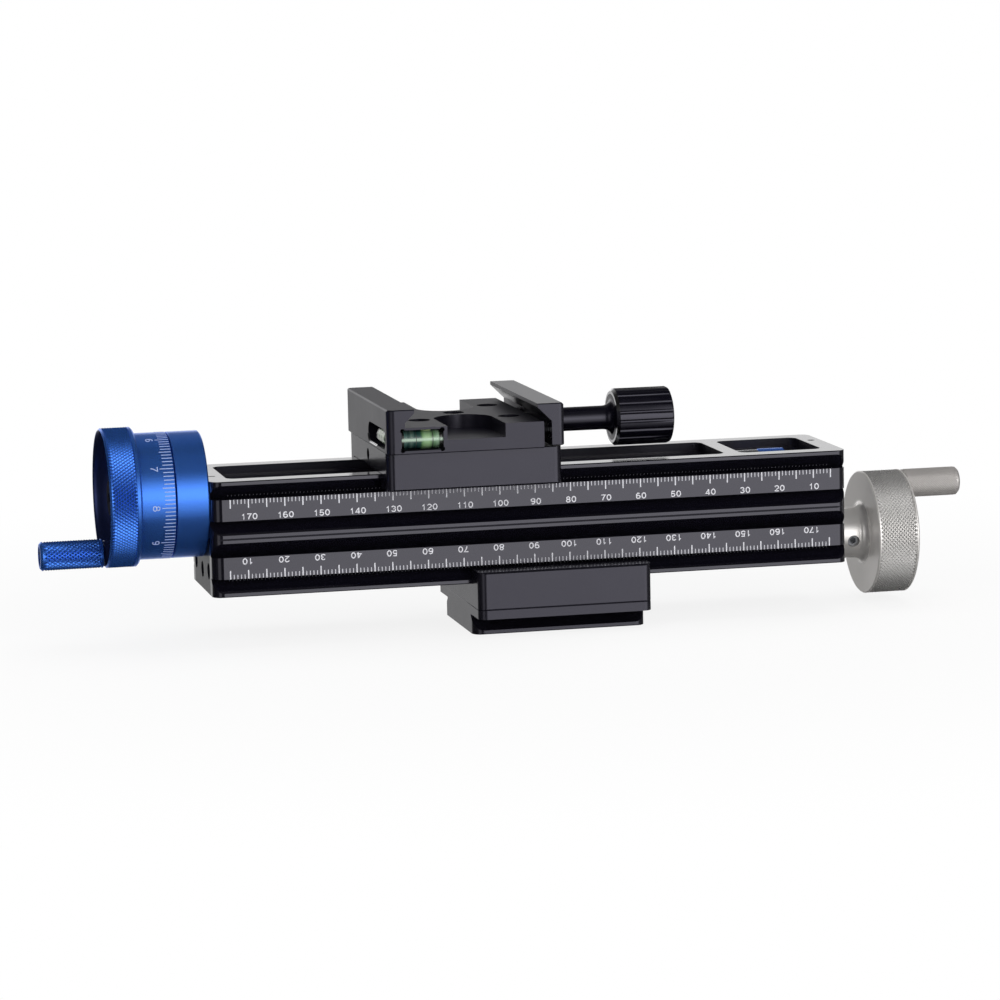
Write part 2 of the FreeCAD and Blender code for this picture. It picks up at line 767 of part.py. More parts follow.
def handle_pin(name, handle_length):
    """The shoulder screw a handle turns on; its head stays clear of the handle's seat."""
    head = handle_pin_radius + 0.8
    points = [
        (-5, 0),
        (-5, handle_pin_radius),
        (handle_length - 1.85, handle_pin_radius),
        (handle_length - 1.85, head),
        (handle_length - 0.5, head),
        (handle_length - 0.3, head - 0.2),
        (handle_length - 0.3, 0),
    ]
    blank = turned(name + "_blank", points)
    return socketed(name, blank, handle_length - 0.3, handle_pin_radius * 0.8, measure(1))


drum_handle_z = axis_height - drum_handle_offset
node("drum_handle", on_deck(
    handle("drum_handle", drum_handle_length, knurl_depth),
    "upper", rim_left, 0, drum_handle_z, TURNS["left"],
))
node("drum_handle_pin", on_deck(
    handle_pin("drum_handle_pin", drum_handle_length),
    "upper", rim_left, 0, drum_handle_z, TURNS["left"],
))

# ---------------------------------------------------------------- crank

# In the lower deck's frame the crank's end is the -x end, so it is drawn to the left.
hub_right = -half_rail - hub_gap
wheel_right = hub_right - hub_length
wheel_left = wheel_right - wheel_width
wheel_points = [
    (wheel_left + 2.5, fixed_bore),
    (wheel_left + 2.5, hub_radius - 2),
    (wheel_left, hub_radius - 2),
    (wheel_left, wheel_radius - wheel_chamfer),
    (wheel_left + wheel_chamfer, wheel_radius),
    (wheel_left + wheel_chamfer + knurl_land, wheel_radius),
    (wheel_left + wheel_chamfer + knurl_land, wheel_radius - knurl_depth),
    (wheel_right - wheel_chamfer - knurl_land, wheel_radius - knurl_depth),
    (wheel_right - wheel_chamfer - knurl_land, wheel_radius),
    (wheel_right - wheel_chamfer, wheel_radius),
    (wheel_right, wheel_radius - wheel_chamfer),
    (wheel_right, hub_radius),
    (hub_right - 0.4, hub_radius),
    (hub_right, hub_radius - 0.4),
    (hub_right, fixed_bore),
]
wheel_body = turned("wheel_body", wheel_points)
doc.recompute()


def hub_corner(edge):
    """The inside corner between the hub and the wheel's face."""
    if "Circle" not in edge.Curve.TypeId:
        return False
    near_face = abs(edge.Curve.Center.x - wheel_right.value) < 0.01
    return near_face and abs(edge.Curve.Radius - hub_radius.value) < 0.01


rounded(wheel_body, hub_fillet, hub_corner)
wheel_handle_offset = wheel_radius - handle_radius
grub_place = hub_right - 5.4
GRUB_ANGLE = 12
grub_cos = math.cos(math.radians(GRUB_ANGLE))
grub_sin = math.sin(math.radians(GRUB_ANGLE))
wheel_holes = [
    rod("wheel_pin_hole", "right", wheel_left - 1, 0, -wheel_handle_offset, measure(7),
        handle_pin_radius + thread_play),
]
# The grub screw's hole points straight at the axis, a little below the front
grub_hole = rod("wheel_grub_hole", "up", 0, 0, 0, hub_radius + 1, measure(1.75))
at(grub_hole, grub_place, 0, 0, Rotation(Vector(1, 0, 0), 90 - GRUB_ANGLE))
wheel_holes.append(grub_hole)
crank = cut("crank_cut", wheel_body, wheel_holes)
node("crank_wheel", on_deck(crank, "lower", 0, 0, axis_height))
crank_grub = grub_screw("crank_grub", hub_radius - journal_radius - 1, measure(1.73))
grub_reach = hub_radius - 0.9
grub_turn = Rotation(Vector(1, 0, 0), -GRUB_ANGLE).multiply(TURNS["front"])
node("crank_grub_screw", on_deck(
    crank_grub, "lower", grub_place, -grub_reach * grub_cos, axis_height + grub_reach * grub_sin,
    grub_turn,
))
crank_handle_z = axis_height - wheel_handle_offset
node("crank_handle", on_deck(
    handle("crank_handle", crank_handle_length, knurl_depth / 3),
    "lower", wheel_left, 0, crank_handle_z, TURNS["left"],
))
node("crank_handle_pin", on_deck(
    handle_pin("crank_handle_pin", crank_handle_length),
    "lower", wheel_left, 0, crank_handle_z, TURNS["left"],
))

# ---------------------------------------------------------------- carriages

slope_gap = 1.5 * slide_gap
slope_top = rail_height - flange_edge
jaw_reach = slope_top - saddle_bottom


def saddle_section():
    """The carriage's section in (y, z): a roof, two skirts and room for the adjusting strip."""
    outer = saddle_depth / 2
    roof = rail_height + slide_gap
    front_low = jaw_reach - half_width - slope_gap
    bend = slope_top - slope_gap + slide_gap
    back_low = half_width - jaw_reach + slope_gap + gib_width + slide_gap
    back_wall = half_width + 2 * slide_gap + gib_width
    back_bend = saddle_bottom + (back_wall - back_low)
    return [
        (front_low, saddle_bottom),
        (-half_width - slide_gap, bend),
        (-half_width - slide_gap, roof),
        (back_wall, roof),
        (back_wall, back_bend),
        (back_low, saddle_bottom),
        (outer - 0.5, saddle_bottom),
        (outer, saddle_bottom + 0.5),
        (outer, saddle_top - 0.2),
        (outer - 0.2, saddle_top),
        (0.2 - outer, saddle_top),
        (-outer, saddle_top - 0.2),
        (-outer, saddle_bottom + 0.5),
        (0.5 - outer, saddle_bottom),
    ]


GIB_SCREW_PLACES = [-gib_screw_place, gib_screw_place]
gib_screw_z = rail_height - 1.5
lock_screw_radius = measure(1.65)


def saddle(deck, carriage_x):
    """A carriage, its nut block, its adjusting strip and the screws that hold them."""
    half = saddle_length / 2
    bar = along_x(deck + "_saddle_bar", saddle_section(), -half, saddle_length)
    ends = plan_block(
        deck + "_saddle_plan", -half, half, -saddle_depth / 2, saddle_depth / 2,
        saddle_bottom - 1, saddle_top + 1, saddle_corner,
    )
    blank = overlap(deck + "_saddle_blank", bar, ends)
    roof = rail_height + slide_gap
    tools = [
        block(
            deck + "_nut_key", -nut_length / 2, -nut_width / 2, roof - 1,
            nut_length, nut_width, nut_key + 1,
        ),
        rod(
            deck + "_lock_hole", "right", -half - 1, 0, saddle_top - 3.1, measure(9),
            lock_screw_radius,
        ),
    ]
    for number, place in enumerate(GIB_SCREW_PLACES, 1):
        tools.append(rod(
            deck + "_gib_hole_%d" % number, "back", place, half_width, gib_screw_z,
            saddle_depth / 2 - half_width + 1, large_screw_radius + thread_play,
        ))
    for number, way in enumerate((-1, 1), 1):
        tools.append(rod(
            deck + "_nut_hole_%d" % number, "up", way * nut_screw_place, 0, roof, measure(8),
            small_screw_radius + thread_play,
        ))
        tools.append(rod(
            deck + "_nut_head_%d" % number, "up", way * nut_screw_place, 0, saddle_top - 2.6,
            measure(4),
            small_head_radius + 0.2,
        ))
    for number, (across, deep) in enumerate(CORNERS[deck], 1):
        tools.append(rod(
            deck + "_tapped_hole_%d" % number, "up", across, deep, saddle_top - 5.5,
            measure(7), CORNER_SCREW[deck] + thread_play,
        ))
    body = cut(deck + "_saddle_cut", blank, tools)
    node(deck + "_saddle", on_deck(body, deck, carriage_x))
    nut_block(deck, carriage_x)
    gib(deck, carriage_x)
    lock = grub_screw(deck + "_lock", measure(6), lock_screw_radius - 0.02)
    node(deck + "_lock_screw", on_deck(
        lock, deck, carriage_x - half + 0.8, 0, saddle_top - 3.1, TURNS["left"]
    ))


CORNER_SCREW = {"upper": small_screw_radius, "lower": large_screw_radius}
CORNERS = {
    "upper": [(a * clamp_screw_x, b * clamp_screw_y) for a in (-1, 1) for b in (-1, 1)],
    "lower": [(a * foot_screw_x, b * foot_screw_y) for a in (-1, 1) for b in (-1, 1)],
}


def nut_block(deck, carriage_x):
    """The bronze nut: it hangs in the screw channel and is keyed into the carriage."""
    top = rail_height + slide_gap + nut_key
    half = nut_length / 2
    side = nut_width / 2
    slab = block(
        deck + "_nut_slab", -half, -side, nut_drop, nut_length, nut_width, top - nut_drop
    )
    tools = [rod(
        deck + "_nut_bore", "right", -half - 1, 0, axis_height, nut_length + 2,
        thread_radius + running_gap,
    )]
    for number, way in enumerate((-1, 1), 1):
        tools.append(rod(
            deck + "_nut_thread_%d" % number, "up", way * nut_screw_place, 0, axis_height,
            measure(9), small_screw_radius + thread_play,
        ))
        name = deck + "_nut_screw_%d" % number
        screw = cap_screw(
            name, saddle_top - 2.6 - axis_height - thread_radius - 0.4, small_screw_radius,
            small_head_radius, small_head_height,
        )
        node(name, on_deck(
            screw, deck, carriage_x + way * nut_screw_place, 0, saddle_top - 2.6, TURNS["up"]
        ))
    node(deck + "_nut", on_deck(cut(deck + "_nut_cut", slab, tools), deck, carriage_x))


def gib(deck, carriage_x):
    """The strip that takes up play behind the rail, and its two set screws."""
    half = saddle_length / 2
    low = saddle_bottom + 0.05
    inner_low = half_width - jaw_reach + slope_gap + 0.05
    inner_wall = half_width + slide_gap
    inner_bend = low + (inner_wall - inner_low)
    outer_wall = inner_wall + gib_width
    points = [
        (inner_low, low),
        (inner_low + gib_width, low),
        (outer_wall, inner_bend),
        (outer_wall, rail_height),
        (inner_wall, rail_height),
        (inner_wall, inner_bend),
    ]
    strip = along_x(deck + "_gib_body", points, 0.5 - half, saddle_length - 1)
    node(deck + "_gib", on_deck_body(strip, deck, carriage_x))
    for number, place in enumerate(GIB_SCREW_PLACES, 1):
        name = deck + "_gib_screw_%d" % number
        length = saddle_depth / 2 - 0.8 - outer_wall
        screw = grub_screw(name, length, large_screw_radius)
        node(name, on_deck(
            screw, deck, carriage_x + place, saddle_depth / 2 - 0.8, gib_screw_z, TURNS["back"]
        ))


def on_deck_body(body, deck, carriage_x):
    """Moves a section run along x onto its deck by way of a plain union of one."""
    holder = doc.addObject("Part::Compound", body.Name + "_held")
    holder.Links = [body]
    return on_deck(holder, deck, carriage_x)


saddle("upper", carriage_rest)
saddle("lower", rail_rest)

# ---------------------------------------------------------------- foot

foot_top = saddle_top
foot_ledge = foot_top + foot_flange
foot_slope = foot_ledge + foot_neck
foot_edge_low = foot_slope + groove_depth
foot_bottom = foot_top + foot_height
neck_half = half_width - groove_depth
foot_section = [
    (-neck_half, foot_ledge - 1),
    (-neck_half, foot_slope),
    (-half_width, foot_edge_low),
    (-half_width, foot_bottom - edge_chamfer),
    (edge_chamfer - half_width, foot_bottom),
    (half_width - edge_chamfer, foot_bottom),
    (half_width, foot_bottom - edge_chamfer),
    (half_width, foot_edge_low),
    (neck_half, foot_slope),
    (neck_half, foot_ledge - 1),
]
half_saddle = saddle_length / 2
foot_bar = along_x("foot_bar", foot_section, -half_saddle, saddle_length)
foot_plan = plan_block(
    "foot_plan", -half_saddle, half_saddle, -half_width, half_width,
    foot_top + edge_chamfer, foot_bottom + 1, foot_corner,
)
foot_tail = overlap("foot_tail", foot_bar, foot_plan)
foot_plate = plan_block(
    "foot_plate_body", -half_saddle, half_saddle, -saddle_depth / 2, saddle_depth / 2,
    foot_top, foot_ledge, saddle_corner,
)
doc.recompute()
chamfered(foot_plate, edge_chamfer, lowest)
foot_solid = joined("foot_solid", [foot_plate, foot_tail])
stop_place = half_saddle - stop_screw_inset
stop_seat = foot_bottom - stop_head_height
stop_floor = stop_seat - stop_screw_length - 0.1
foot_tools = [
    rod("tripod_hole", "up", 0, 0, foot_top - 1, foot_height + 2, tripod_radius),
]
for number, (across, deep) in enumerate(CORNERS["lower"], 1):
    foot_tools.append(rod(
        "foot_hole_%d" % number, "up", across, deep, foot_top - 1, foot_height + 2,
        large_screw_radius + thread_play,
    ))
    sink = doc.addObject("Part::Cone", "foot_sink_%d" % number)
    bind(
        sink, Radius1=large_screw_radius, Radius2=foot_head_radius + 0.1,
        Height=foot_head_radius + 0.1 - large_screw_radius,
    )
    at(sink, across, deep, foot_bottom - foot_head_radius - 0.1 + large_screw_radius)
    foot_tools.append(sink)
for number, way in enumerate((-1, 1), 1):
    foot_tools.append(rod(
        "stop_hole_%d" % number, "up", way * stop_place, 0, stop_floor,
        stop_screw_length + 1, small_screw_radius + thread_play,
    ))
    foot_tools.append(rod(
        "stop_seat_%d" % number, "up", way * stop_place, 0, stop_seat, measure(4),
        stop_head_radius + 0.15,
    ))
foot = cut("foot_cut", foot_solid, foot_tools)
node("foot_plate", on_deck(foot, "lower", rail_rest))
for number, (across, deep) in enumerate(CORNERS["lower"], 1):
    name = "foot_screw_%d" % number
    screw = flat_screw(name, foot_height + 4, large_screw_radius, foot_head_radius)
    node(name, on_deck(screw, "lower", rail_rest + across, deep, foot_bottom, TURNS["up"]))
for side, way in (("right", -1), ("left", 1)):
    name = "stop_screw_" + side
    screw = cap_screw(
        name, stop_screw_length, small_screw_radius, stop_head_radius, stop_head_height
    )
    node(name, on_deck(
        screw, "lower", rail_rest + way * stop_place, 0, stop_seat, TURNS["up"]
    ))

# ---------------------------------------------------------------- clamp body and levels

fixed_slope_foot = clamp_deck + fixed_rise
lip_low = clamp_top - lip_edge
lip_tip = fixed_wall + (lip_low - fixed_slope_foot)
clamp_section = [
    (clamp_left, saddle_top),
    (clamp_right, saddle_top),
    (clamp_right, clamp_deck - 0.2),
    (clamp_right - 0.2, clamp_deck),
    (fixed_wall, clamp_deck),
    (fixed_wall, fixed_slope_foot),
    (lip_tip, lip_low),
    (lip_tip, clamp_top),
    (clamp_left + 0.4, clamp_top),
    (clamp_left, clamp_top - 0.4),
]
clamp_bar = along_y("clamp_bar", clamp_section, clamp_depth)
half_clamp = clamp_depth / 2


def left_corner(edge):
    """The two upright edges of the clamp's left face."""
    return upright(edge) and edge.CenterOfMass.x < 0


clamp_plan = plan_block(
    "clamp_plan", clamp_left, clamp_right, -half_clamp, half_clamp,
    saddle_top, clamp_top, clamp_corner, left_corner,
)
doc.recompute()


def clamp_rim(edge):
    """The edges round the bottom and the top of the clamp's plan."""
    return lowest(edge) or edge.BoundBox.ZMin > (clamp_top - saddle_top).value - 0.001


chamfered(clamp_plan, edge_chamfer, clamp_rim)
clamp_blank = overlap("clamp_blank", clamp_bar, clamp_plan)


def relief(side, way):
    """A relief with a round inner end, open to the front or the back."""
    end = half_clamp - relief_reach + relief_width / 2
    outer = half_clamp + 1
    low, high = (end, outer) if way > 0 else (-outer, -end)
    floor = clamp_deck - relief_drop
    straight = block(
        side + "_relief_straight", -relief_width / 2, low, floor, relief_width,
        high - low, relief_drop + 1,
    )
    arch = rod(
        side + "_relief_arch", "up", 0, way * end, floor, relief_drop + 1, relief_width / 2
    )
    return joined(side + "_relief", [straight, arch])


clamp_tools = [relief("front", -1), relief("back", 1)]
for number, (across, deep) in enumerate([(measure(0), measure(0))] + CORNERS["upper"], 1):
    clamp_tools.append(rod(
        "clamp_hole_%d" % number, "up", across, deep, saddle_top - 1, deck_height + 2,
        small_screw_radius + thread_play,
    ))
    clamp_tools.append(rod(
        "clamp_seat_%d" % number, "up", across, deep, clamp_deck - 3.2, measure(5),
        small_head_radius + 0.25,
    ))
clamp_tools.append(rod(
    "bolt_bore", "right", bolt_tip - 0.3, 0, bolt_axis, clamp_right - bolt_tip + 1.3,
    bolt_radius + running_gap,
))
for number, way in enumerate((-1, 1), 1):
    clamp_tools.append(rod(
        "pin_bore_%d" % number, "right", clamp_right - guide_pin_reach - 0.6,
        way * guide_pin_spread, bolt_axis, guide_pin_reach + 1.6, guide_pin_radius + running_gap,
    ))

# The front level lies in a window in the clamp's front face
vial_axis_z = bolt_axis - 0.1
vial_axis_y = vial_radius + 0.15 - half_clamp
window_low = vial_axis_z - vial_radius
clamp_tools.append(block(
    "front_vial_window", vial_left, -half_clamp - 1, window_low,
    vial_length, vial_radius * 2 + 1.15, 2 * vial_radius,
))
for end_name, end_x in (("left", vial_left + 0.3), ("right", vial_left + vial_length - 0.3)):
    for level_name, level in (("low", window_low + 0.2), ("high", window_low + 2 * vial_radius - 0.2)):
        clamp_tools.append(rod(
            "window_corner_" + end_name + "_" + level_name, "back", end_x, -half_clamp - 1,
            level, measure(4), measure(0.65),
        ))

# The side level lies in a slot in the fixed jaw's outer face, round at both ends
side_axis_x = clamp_left + side_vial_radius + 0.1
slot_front = side_slot_inset + side_slot_radius - half_clamp
slot_back = slot_front + side_slot_length - 2 * side_slot_radius
slot_reach = side_vial_radius + side_slot_radius + 1.1
side_slot = block(
    "side_vial_slot", clamp_left - 1, slot_front, vial_axis_z - side_slot_radius,
    slot_reach, slot_back - slot_front, 2 * side_slot_radius,
)
for end_name, end_y in (("front", slot_front), ("back", slot_back)):
    clamp_tools.append(rod(
        "side_slot_" + end_name, "right", clamp_left - 1, end_y, vial_axis_z, slot_reach,
        side_slot_radius,
    ))
clamp_tools.append(side_slot)
clamp_body = cut("clamp_body_cut", clamp_blank, clamp_tools)
node("clamp_body", on_deck(clamp_body, "upper", carriage_rest))

clamp_places = [(measure(0), measure(0))] + CORNERS["upper"]
for number, (across, deep) in enumerate(clamp_places, 1):
    name = "clamp_screw_%d" % number
    length = measure(7) if number > 1 else measure(3.6)
    screw = cap_screw(name, length, small_screw_radius, small_head_radius, small_head_height)
    node(name, on_deck(
        screw, "upper", carriage_rest + across, deep, clamp_deck - 3.2, TURNS["up"]
    ))

front_vial = rod(
    "front_vial_body", "right", 0, 0, 0, vial_length, vial_radius
)
node("front_vial", on_deck(
    front_vial, "upper", carriage_rest + vial_left, vial_axis_y, vial_axis_z, DRILL_TURNS["right"]
))
side_vial = rod("side_vial_body", "back", 0, 0, 0, side_vial_length, side_vial_radius)
node("side_vial", on_deck(
    side_vial, "upper", carriage_rest + side_axis_x, side_vial_front, vial_axis_z,
    DRILL_TURNS["back"]
))

# ---------------------------------------------------------------- moving jaw and knob

jaw_low = saddle_top + jaw_lift
jaw_outer = moving_wall + jaw_thickness
moving_lip = moving_wall - (lip_low - clamp_deck)
jaw_section = [
    (moving_wall, jaw_low),
    (jaw_outer, jaw_low),
    (jaw_outer, clamp_top - jaw_chamfer),
    (jaw_outer - jaw_chamfer, clamp_top),
    (moving_lip, clamp_top),
    (moving_lip, lip_low),
    (moving_wall, clamp_deck),
]
jaw_bar = along_y("jaw_bar", jaw_section, clamp_depth)


def right_corner(edge):
    """The two upright edges of the jaw's outer face."""
    return upright(edge) and edge.CenterOfMass.x > moving_wall.value


jaw_plan = plan_block(
    "jaw_plan", moving_lip - 1, jaw_outer, -half_clamp, half_clamp,
    jaw_low, clamp_top, jaw_corner, right_corner,
)
doc.recompute()


def jaw_rim(edge):
    """The edges round the bottom and the top of the jaw's plan."""
    return lowest(edge) or edge.BoundBox.ZMin > (clamp_top - jaw_low).value - 0.001


chamfered(jaw_plan, edge_chamfer, jaw_rim)
jaw_blank = overlap("jaw_blank", jaw_bar, jaw_plan)
jaw_tools = [rod(
    "jaw_bore", "right", moving_wall - 1, 0, bolt_axis, jaw_thickness + 2,
    bolt_radius + running_gap,
)]
for number, way in enumerate((-1, 1), 1):
    jaw_tools.append(rod(
        "jaw_pin_hole_%d" % number, "right", moving_wall - 1, way * guide_pin_spread,
        bolt_axis, measure(3.6), guide_pin_radius + thread_play,
    ))
jaw = cut("jaw_cut", jaw_blank, jaw_tools)
node("moving_jaw", on_deck(jaw, "upper", carriage_rest))
pin_left = clamp_right - guide_pin_reach + 2.3
for side, way in (("front", -1), ("back", 1)):
    pin_length = moving_wall + 2.6 - pin_left
    pin = turned("guide_pin_body_" + side, [
        (0, 0),
        (0, guide_pin_radius - 0.3),
        (0.3, guide_pin_radius),
        (pin_length, guide_pin_radius),
        (pin_length, 0),
    ])
    node("guide_pin_" + side, on_deck(
        pin, "upper", carriage_rest + pin_left, way * guide_pin_spread, bolt_axis
    ))

neck_left = jaw_outer + 0.1
flare_left = neck_left + knob_neck_length
grip_left = flare_left + knob_flare_length
grip_right = grip_left + knob_length
bolt_end = neck_left + 9
bolt_points = [
    (bolt_tip + 2.4, 0),
    (bolt_tip + 2.4, bolt_radius - 0.5),
    (bolt_tip + 2.9, bolt_radius),
    (bolt_end, bolt_radius),
    (bolt_end, 0),
]
node("clamp_bolt", on_deck(
    turned("clamp_bolt_body", bolt_points), "upper", carriage_rest, 0, bolt_axis
))
flare_step = knob_flare_length / 4
flare_rise = (knob_boss_radius - knob_neck_radius) / 10
knob_points = [
    (neck_left, bolt_radius),
    (neck_left, knob_neck_radius - 0.2),
    (neck_left + 0.2, knob_neck_radius),
    (flare_left, knob_neck_radius),
    (flare_left + flare_step, knob_neck_radius + flare_rise),
    (flare_left + 2 * flare_step, knob_neck_radius + 3 * flare_rise),
    (flare_left + 3 * flare_step, knob_neck_radius + 6 * flare_rise),
    (grip_left, knob_boss_radius),
    (grip_left, knob_radius - knob_chamfer),
    (grip_left + knob_chamfer, knob_radius),
    (grip_right - knob_chamfer, knob_radius),
    (grip_right, knob_radius - knob_chamfer),
    (grip_right, 0),
    (bolt_end, 0),
    (bolt_end, bolt_radius),
]
knob_blank = turned("knob_body", knob_points)
flute = rod(
    "knob_flute", "right", grip_left - 1, 0, knob_radius + flute_radius * 0.35,
    knob_length + 2, flute_radius,
)
flutes = []
FLUTE_COUNT = 20
for number in range(FLUTE_COUNT):
    copy = doc.addObject("Part::Compound", "knob_flute_%d" % (number + 1))
    copy.Links = [flute]
    copy.Placement = FreeCAD.Placement(
        Vector(0, 0, 0), Rotation(Vector(1, 0, 0), 360.0 * (number + 0.5) / FLUTE_COUNT)
    )
    flutes.append(copy)
knob = cut("knob_cut", knob_blank, flutes)
node("clamp_knob", on_deck(knob, "upper", carriage_rest, 0, bolt_axis))

# ---------------------------------------------------------------- checks and files

doc.recompute()
for thing in doc.Objects:
    if "Invalid" in thing.State or "Error" in thing.State:
        raise RuntimeError(thing.Name + " did not rebuild: " + str(thing.State))
os.makedirs("parts", exist_ok=True)
for name, thing in nodes:
    shape = thing.Shape
    if shape.isNull() or not shape.isValid():
        raise RuntimeError(name + " has no valid shape")
    shape.exportStep("parts/" + name + ".step")
    print("%-20s solids %d  volume %9.1f mm3" % (name, len(shape.Solids), shape.Volume))
print(len(nodes), "parts written")
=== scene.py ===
# %% [markdown]
# # Dressing a macro focusing rail
# The solids of this rail come packed from the workshop drawing: two black anodised rails bolted
# back to back, a carriage above and below, a blue graduated drum on the left and a silver crank
# on the right. Most keep their shape and only take a finish. The drum, the two screws, the
# knob and the levels are made again in more detail, inside the same outline. This lesson adds
# what a lathe, a knurling wheel, a laser and an anodising bath leave on them, and then the
# studio round them.

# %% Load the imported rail
import math

import bmesh
import bpy
import numpy as np
from mathutils import Matrix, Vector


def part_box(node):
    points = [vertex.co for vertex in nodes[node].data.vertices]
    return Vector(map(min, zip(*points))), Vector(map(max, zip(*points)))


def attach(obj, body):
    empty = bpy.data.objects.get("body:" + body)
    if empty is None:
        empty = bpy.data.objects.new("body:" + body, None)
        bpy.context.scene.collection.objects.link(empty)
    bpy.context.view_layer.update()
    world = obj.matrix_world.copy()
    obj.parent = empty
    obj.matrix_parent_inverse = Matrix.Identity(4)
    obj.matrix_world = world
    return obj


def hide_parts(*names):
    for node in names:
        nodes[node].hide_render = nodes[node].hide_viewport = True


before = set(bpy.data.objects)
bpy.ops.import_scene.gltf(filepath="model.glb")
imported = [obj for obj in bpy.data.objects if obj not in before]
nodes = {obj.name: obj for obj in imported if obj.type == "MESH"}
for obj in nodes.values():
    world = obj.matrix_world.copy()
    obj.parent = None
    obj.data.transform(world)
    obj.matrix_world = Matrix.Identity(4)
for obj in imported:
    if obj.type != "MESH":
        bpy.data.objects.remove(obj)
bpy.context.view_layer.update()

MM = 0.001

# %% [markdown]
# ## Where things are
# Everything below is placed from a few numbers of the drawing, in millimetres: the middle of
# the two rails, the joint between them, the axes of the two lead screws and the face of the
# front strips. The solids' own boxes give the rest, so a piece always sits on what carries it.

# %% Places on the rail, in millimetres
RAIL_MIDDLE = -6.6
JOINT = 30.3
UPPER_AXIS = JOINT + 10.55
LOWER_AXIS = JOINT - 10.55
FRONT = -19.0


def box_of(node):
    """The lowest and highest corner of a solid, in millimetres."""
    low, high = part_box(node)
    return np.array(low) / MM, np.array(high) / MM


rail_low, rail_high = box_of("upper_rail")
print("upper rail from", *rail_low.round(1), "to", *rail_high.round(1))

# %% [markdown]
# ## The camera
# A macro rail is long and thin, so it is shown with a long lens from some way off, which keeps
# its edges nearly parallel. The camera stands left of the front and a little above, and is
# rolled by one degree. Its place follows from the three angles and from how far the rail's
# middle lies to its right, above it and ahead of it, so no constraint or target is needed. The
# lamps are stood up by the same function.

# %% Stand the camera
AZIMUTH, ELEVATION, ROLL = 12.7476, 8.1144, -1.2155  # in degrees
TO_THE_RIGHT, HIGHER, AHEAD = 9.665, -6.4136, 1138.12  # of the rail's middle, in millimetres
LENS, SENSOR = 148.51, 36.0


def set_up(name, data, right, above, back, at):
    """Stands a camera or lamp at a place in metres, with its right, upper and back side given."""
    made = bpy.data.objects.new(name, data)
    bpy.context.scene.collection.objects.link(made)
    axes = np.column_stack([right, above, back, at])
    made.matrix_world = Matrix([*axes.tolist(), [0, 0, 0, 1]])
    return made


azimuth, elevation, roll = np.radians([AZIMUTH, ELEVATION, ROLL])
forward = np.array([
    np.sin(azimuth) * np.cos(elevation),
    np.cos(azimuth) * np.cos(elevation),
    -np.sin(elevation),
])
level = np.array([np.cos(azimuth), -np.sin(azimuth), 0.0])
upward = np.cross(level, forward)
right = np.cos(roll) * level + np.sin(roll) * upward
above = np.cos(roll) * upward - np.sin(roll) * level
aim = np.array([RAIL_MIDDLE, FRONT, JOINT])
eye = aim - (TO_THE_RIGHT * right + HIGHER * above + AHEAD * forward)

camera_data = bpy.data.cameras.new("studio_camera")
camera_data.sensor_width = SENSOR
camera_data.lens = LENS
camera_data.clip_start = 0.01
camera_data.clip_end = 60.0
camera = set_up("studio_camera", camera_data, right, above, -forward, eye * MM)
bpy.context.scene.camera = camera
print("the camera stands", round(float(np.linalg.norm(eye - aim))), "mm from the rail")

# %% [markdown]
# ## Colours and nodes
# A colour picked on a screen is sRGB, and a shader works in linear light, so one function turns
# a hex value into what a socket wants. One more adds a node of any kind with its settings and
# links, which keeps each material below short enough to read. Every pattern of a material
# starts from the Object coordinates, in metres, so it stays on its piece when the piece moves.

# %% Helpers for materials
TIMES, LARGER = {"operation": "MULTIPLY"}, {"operation": "MAXIMUM"}
SMOOTH = {"interpolation_type": "SMOOTHSTEP"}


def linear(hex_value):
    """sRGB to linear light: a straight line near black, and a power of 2.4 above it."""
    srgb = np.array([int(hex_value[k:k + 2], 16) for k in (1, 3, 5)]) / 255
    light = np.where(srgb <= 0.04045, srgb / 12.92, ((srgb + 0.055) / 1.055) ** 2.4)
    return (*light.tolist(), 1.0)


def add(tree, kind, settings=None, **sockets):
    """Adds a node; kind is its type without ShaderNode. A socket is named with _ for a space,
    or by _ and its number, and takes a value, an output, or a node, for its first output."""
    new = tree.nodes.new("ShaderNode" + kind)
    for name, value in (settings or {}).items():
        setattr(new, name, value)
    for name, value in sockets.items():
        number = name[1:]
        socket = new.inputs[int(number) if number.isdigit() else name.replace("_", " ")]
        if isinstance(value, bpy.types.Node):
            value = value.outputs[0]
        if isinstance(value, bpy.types.NodeSocket):
            tree.links.new(value, socket)
        else:
            socket.default_value = value
    return new


def new_material(name):
    """An empty material, its node tree, and where a point is on the piece."""
    material = bpy.data.materials.new(name)
    material.use_nodes = True
    tree = material.node_tree
    tree.nodes.clear()
    return material, tree, add(tree, "TexCoord").outputs["Object"]


def set_stops(curve, stops):
    """Gives a colour ramp its (place, colour) stops. It comes with two, for the first and last."""
    elements = curve.color_ramp.elements
    for number, (at, colour) in enumerate(stops):
        stop = elements[number] if number < 2 else elements.new(at)
        stop.position, stop.color = at, colour


print("the grey #808080 is", round(linear("#808080")[0], 3), "in linear light")

# %% [markdown]
# ## Anodised aluminium
# Aluminium parts like these are milled and then anodised, which grows an oxide layer about 15
# micrometres thick that takes a dye. Black dye swallows what reaches the metal, so a black part
# shows only what the clear oxide itself mirrors: a dielectric with an IOR of 1.6 to 1.7 over
# almost nothing. That is why it looks dark from the front and silver at a grazing angle. The
# rails are drawn through a die first, which leaves faint lines along them. The carriages and the
# clamp are blasted with glass beads, which scatters the mirror image. Blue and natural parts
# keep the metal's own reflection, tinted and made a little milky by the oxide, so they are
# metallic only in part. On the real thing the grain of the beads is 0.1 mm across and the die's
# lines are as fine. They are drawn at 0.25 mm and 0.7 mm, so that they survive a render.

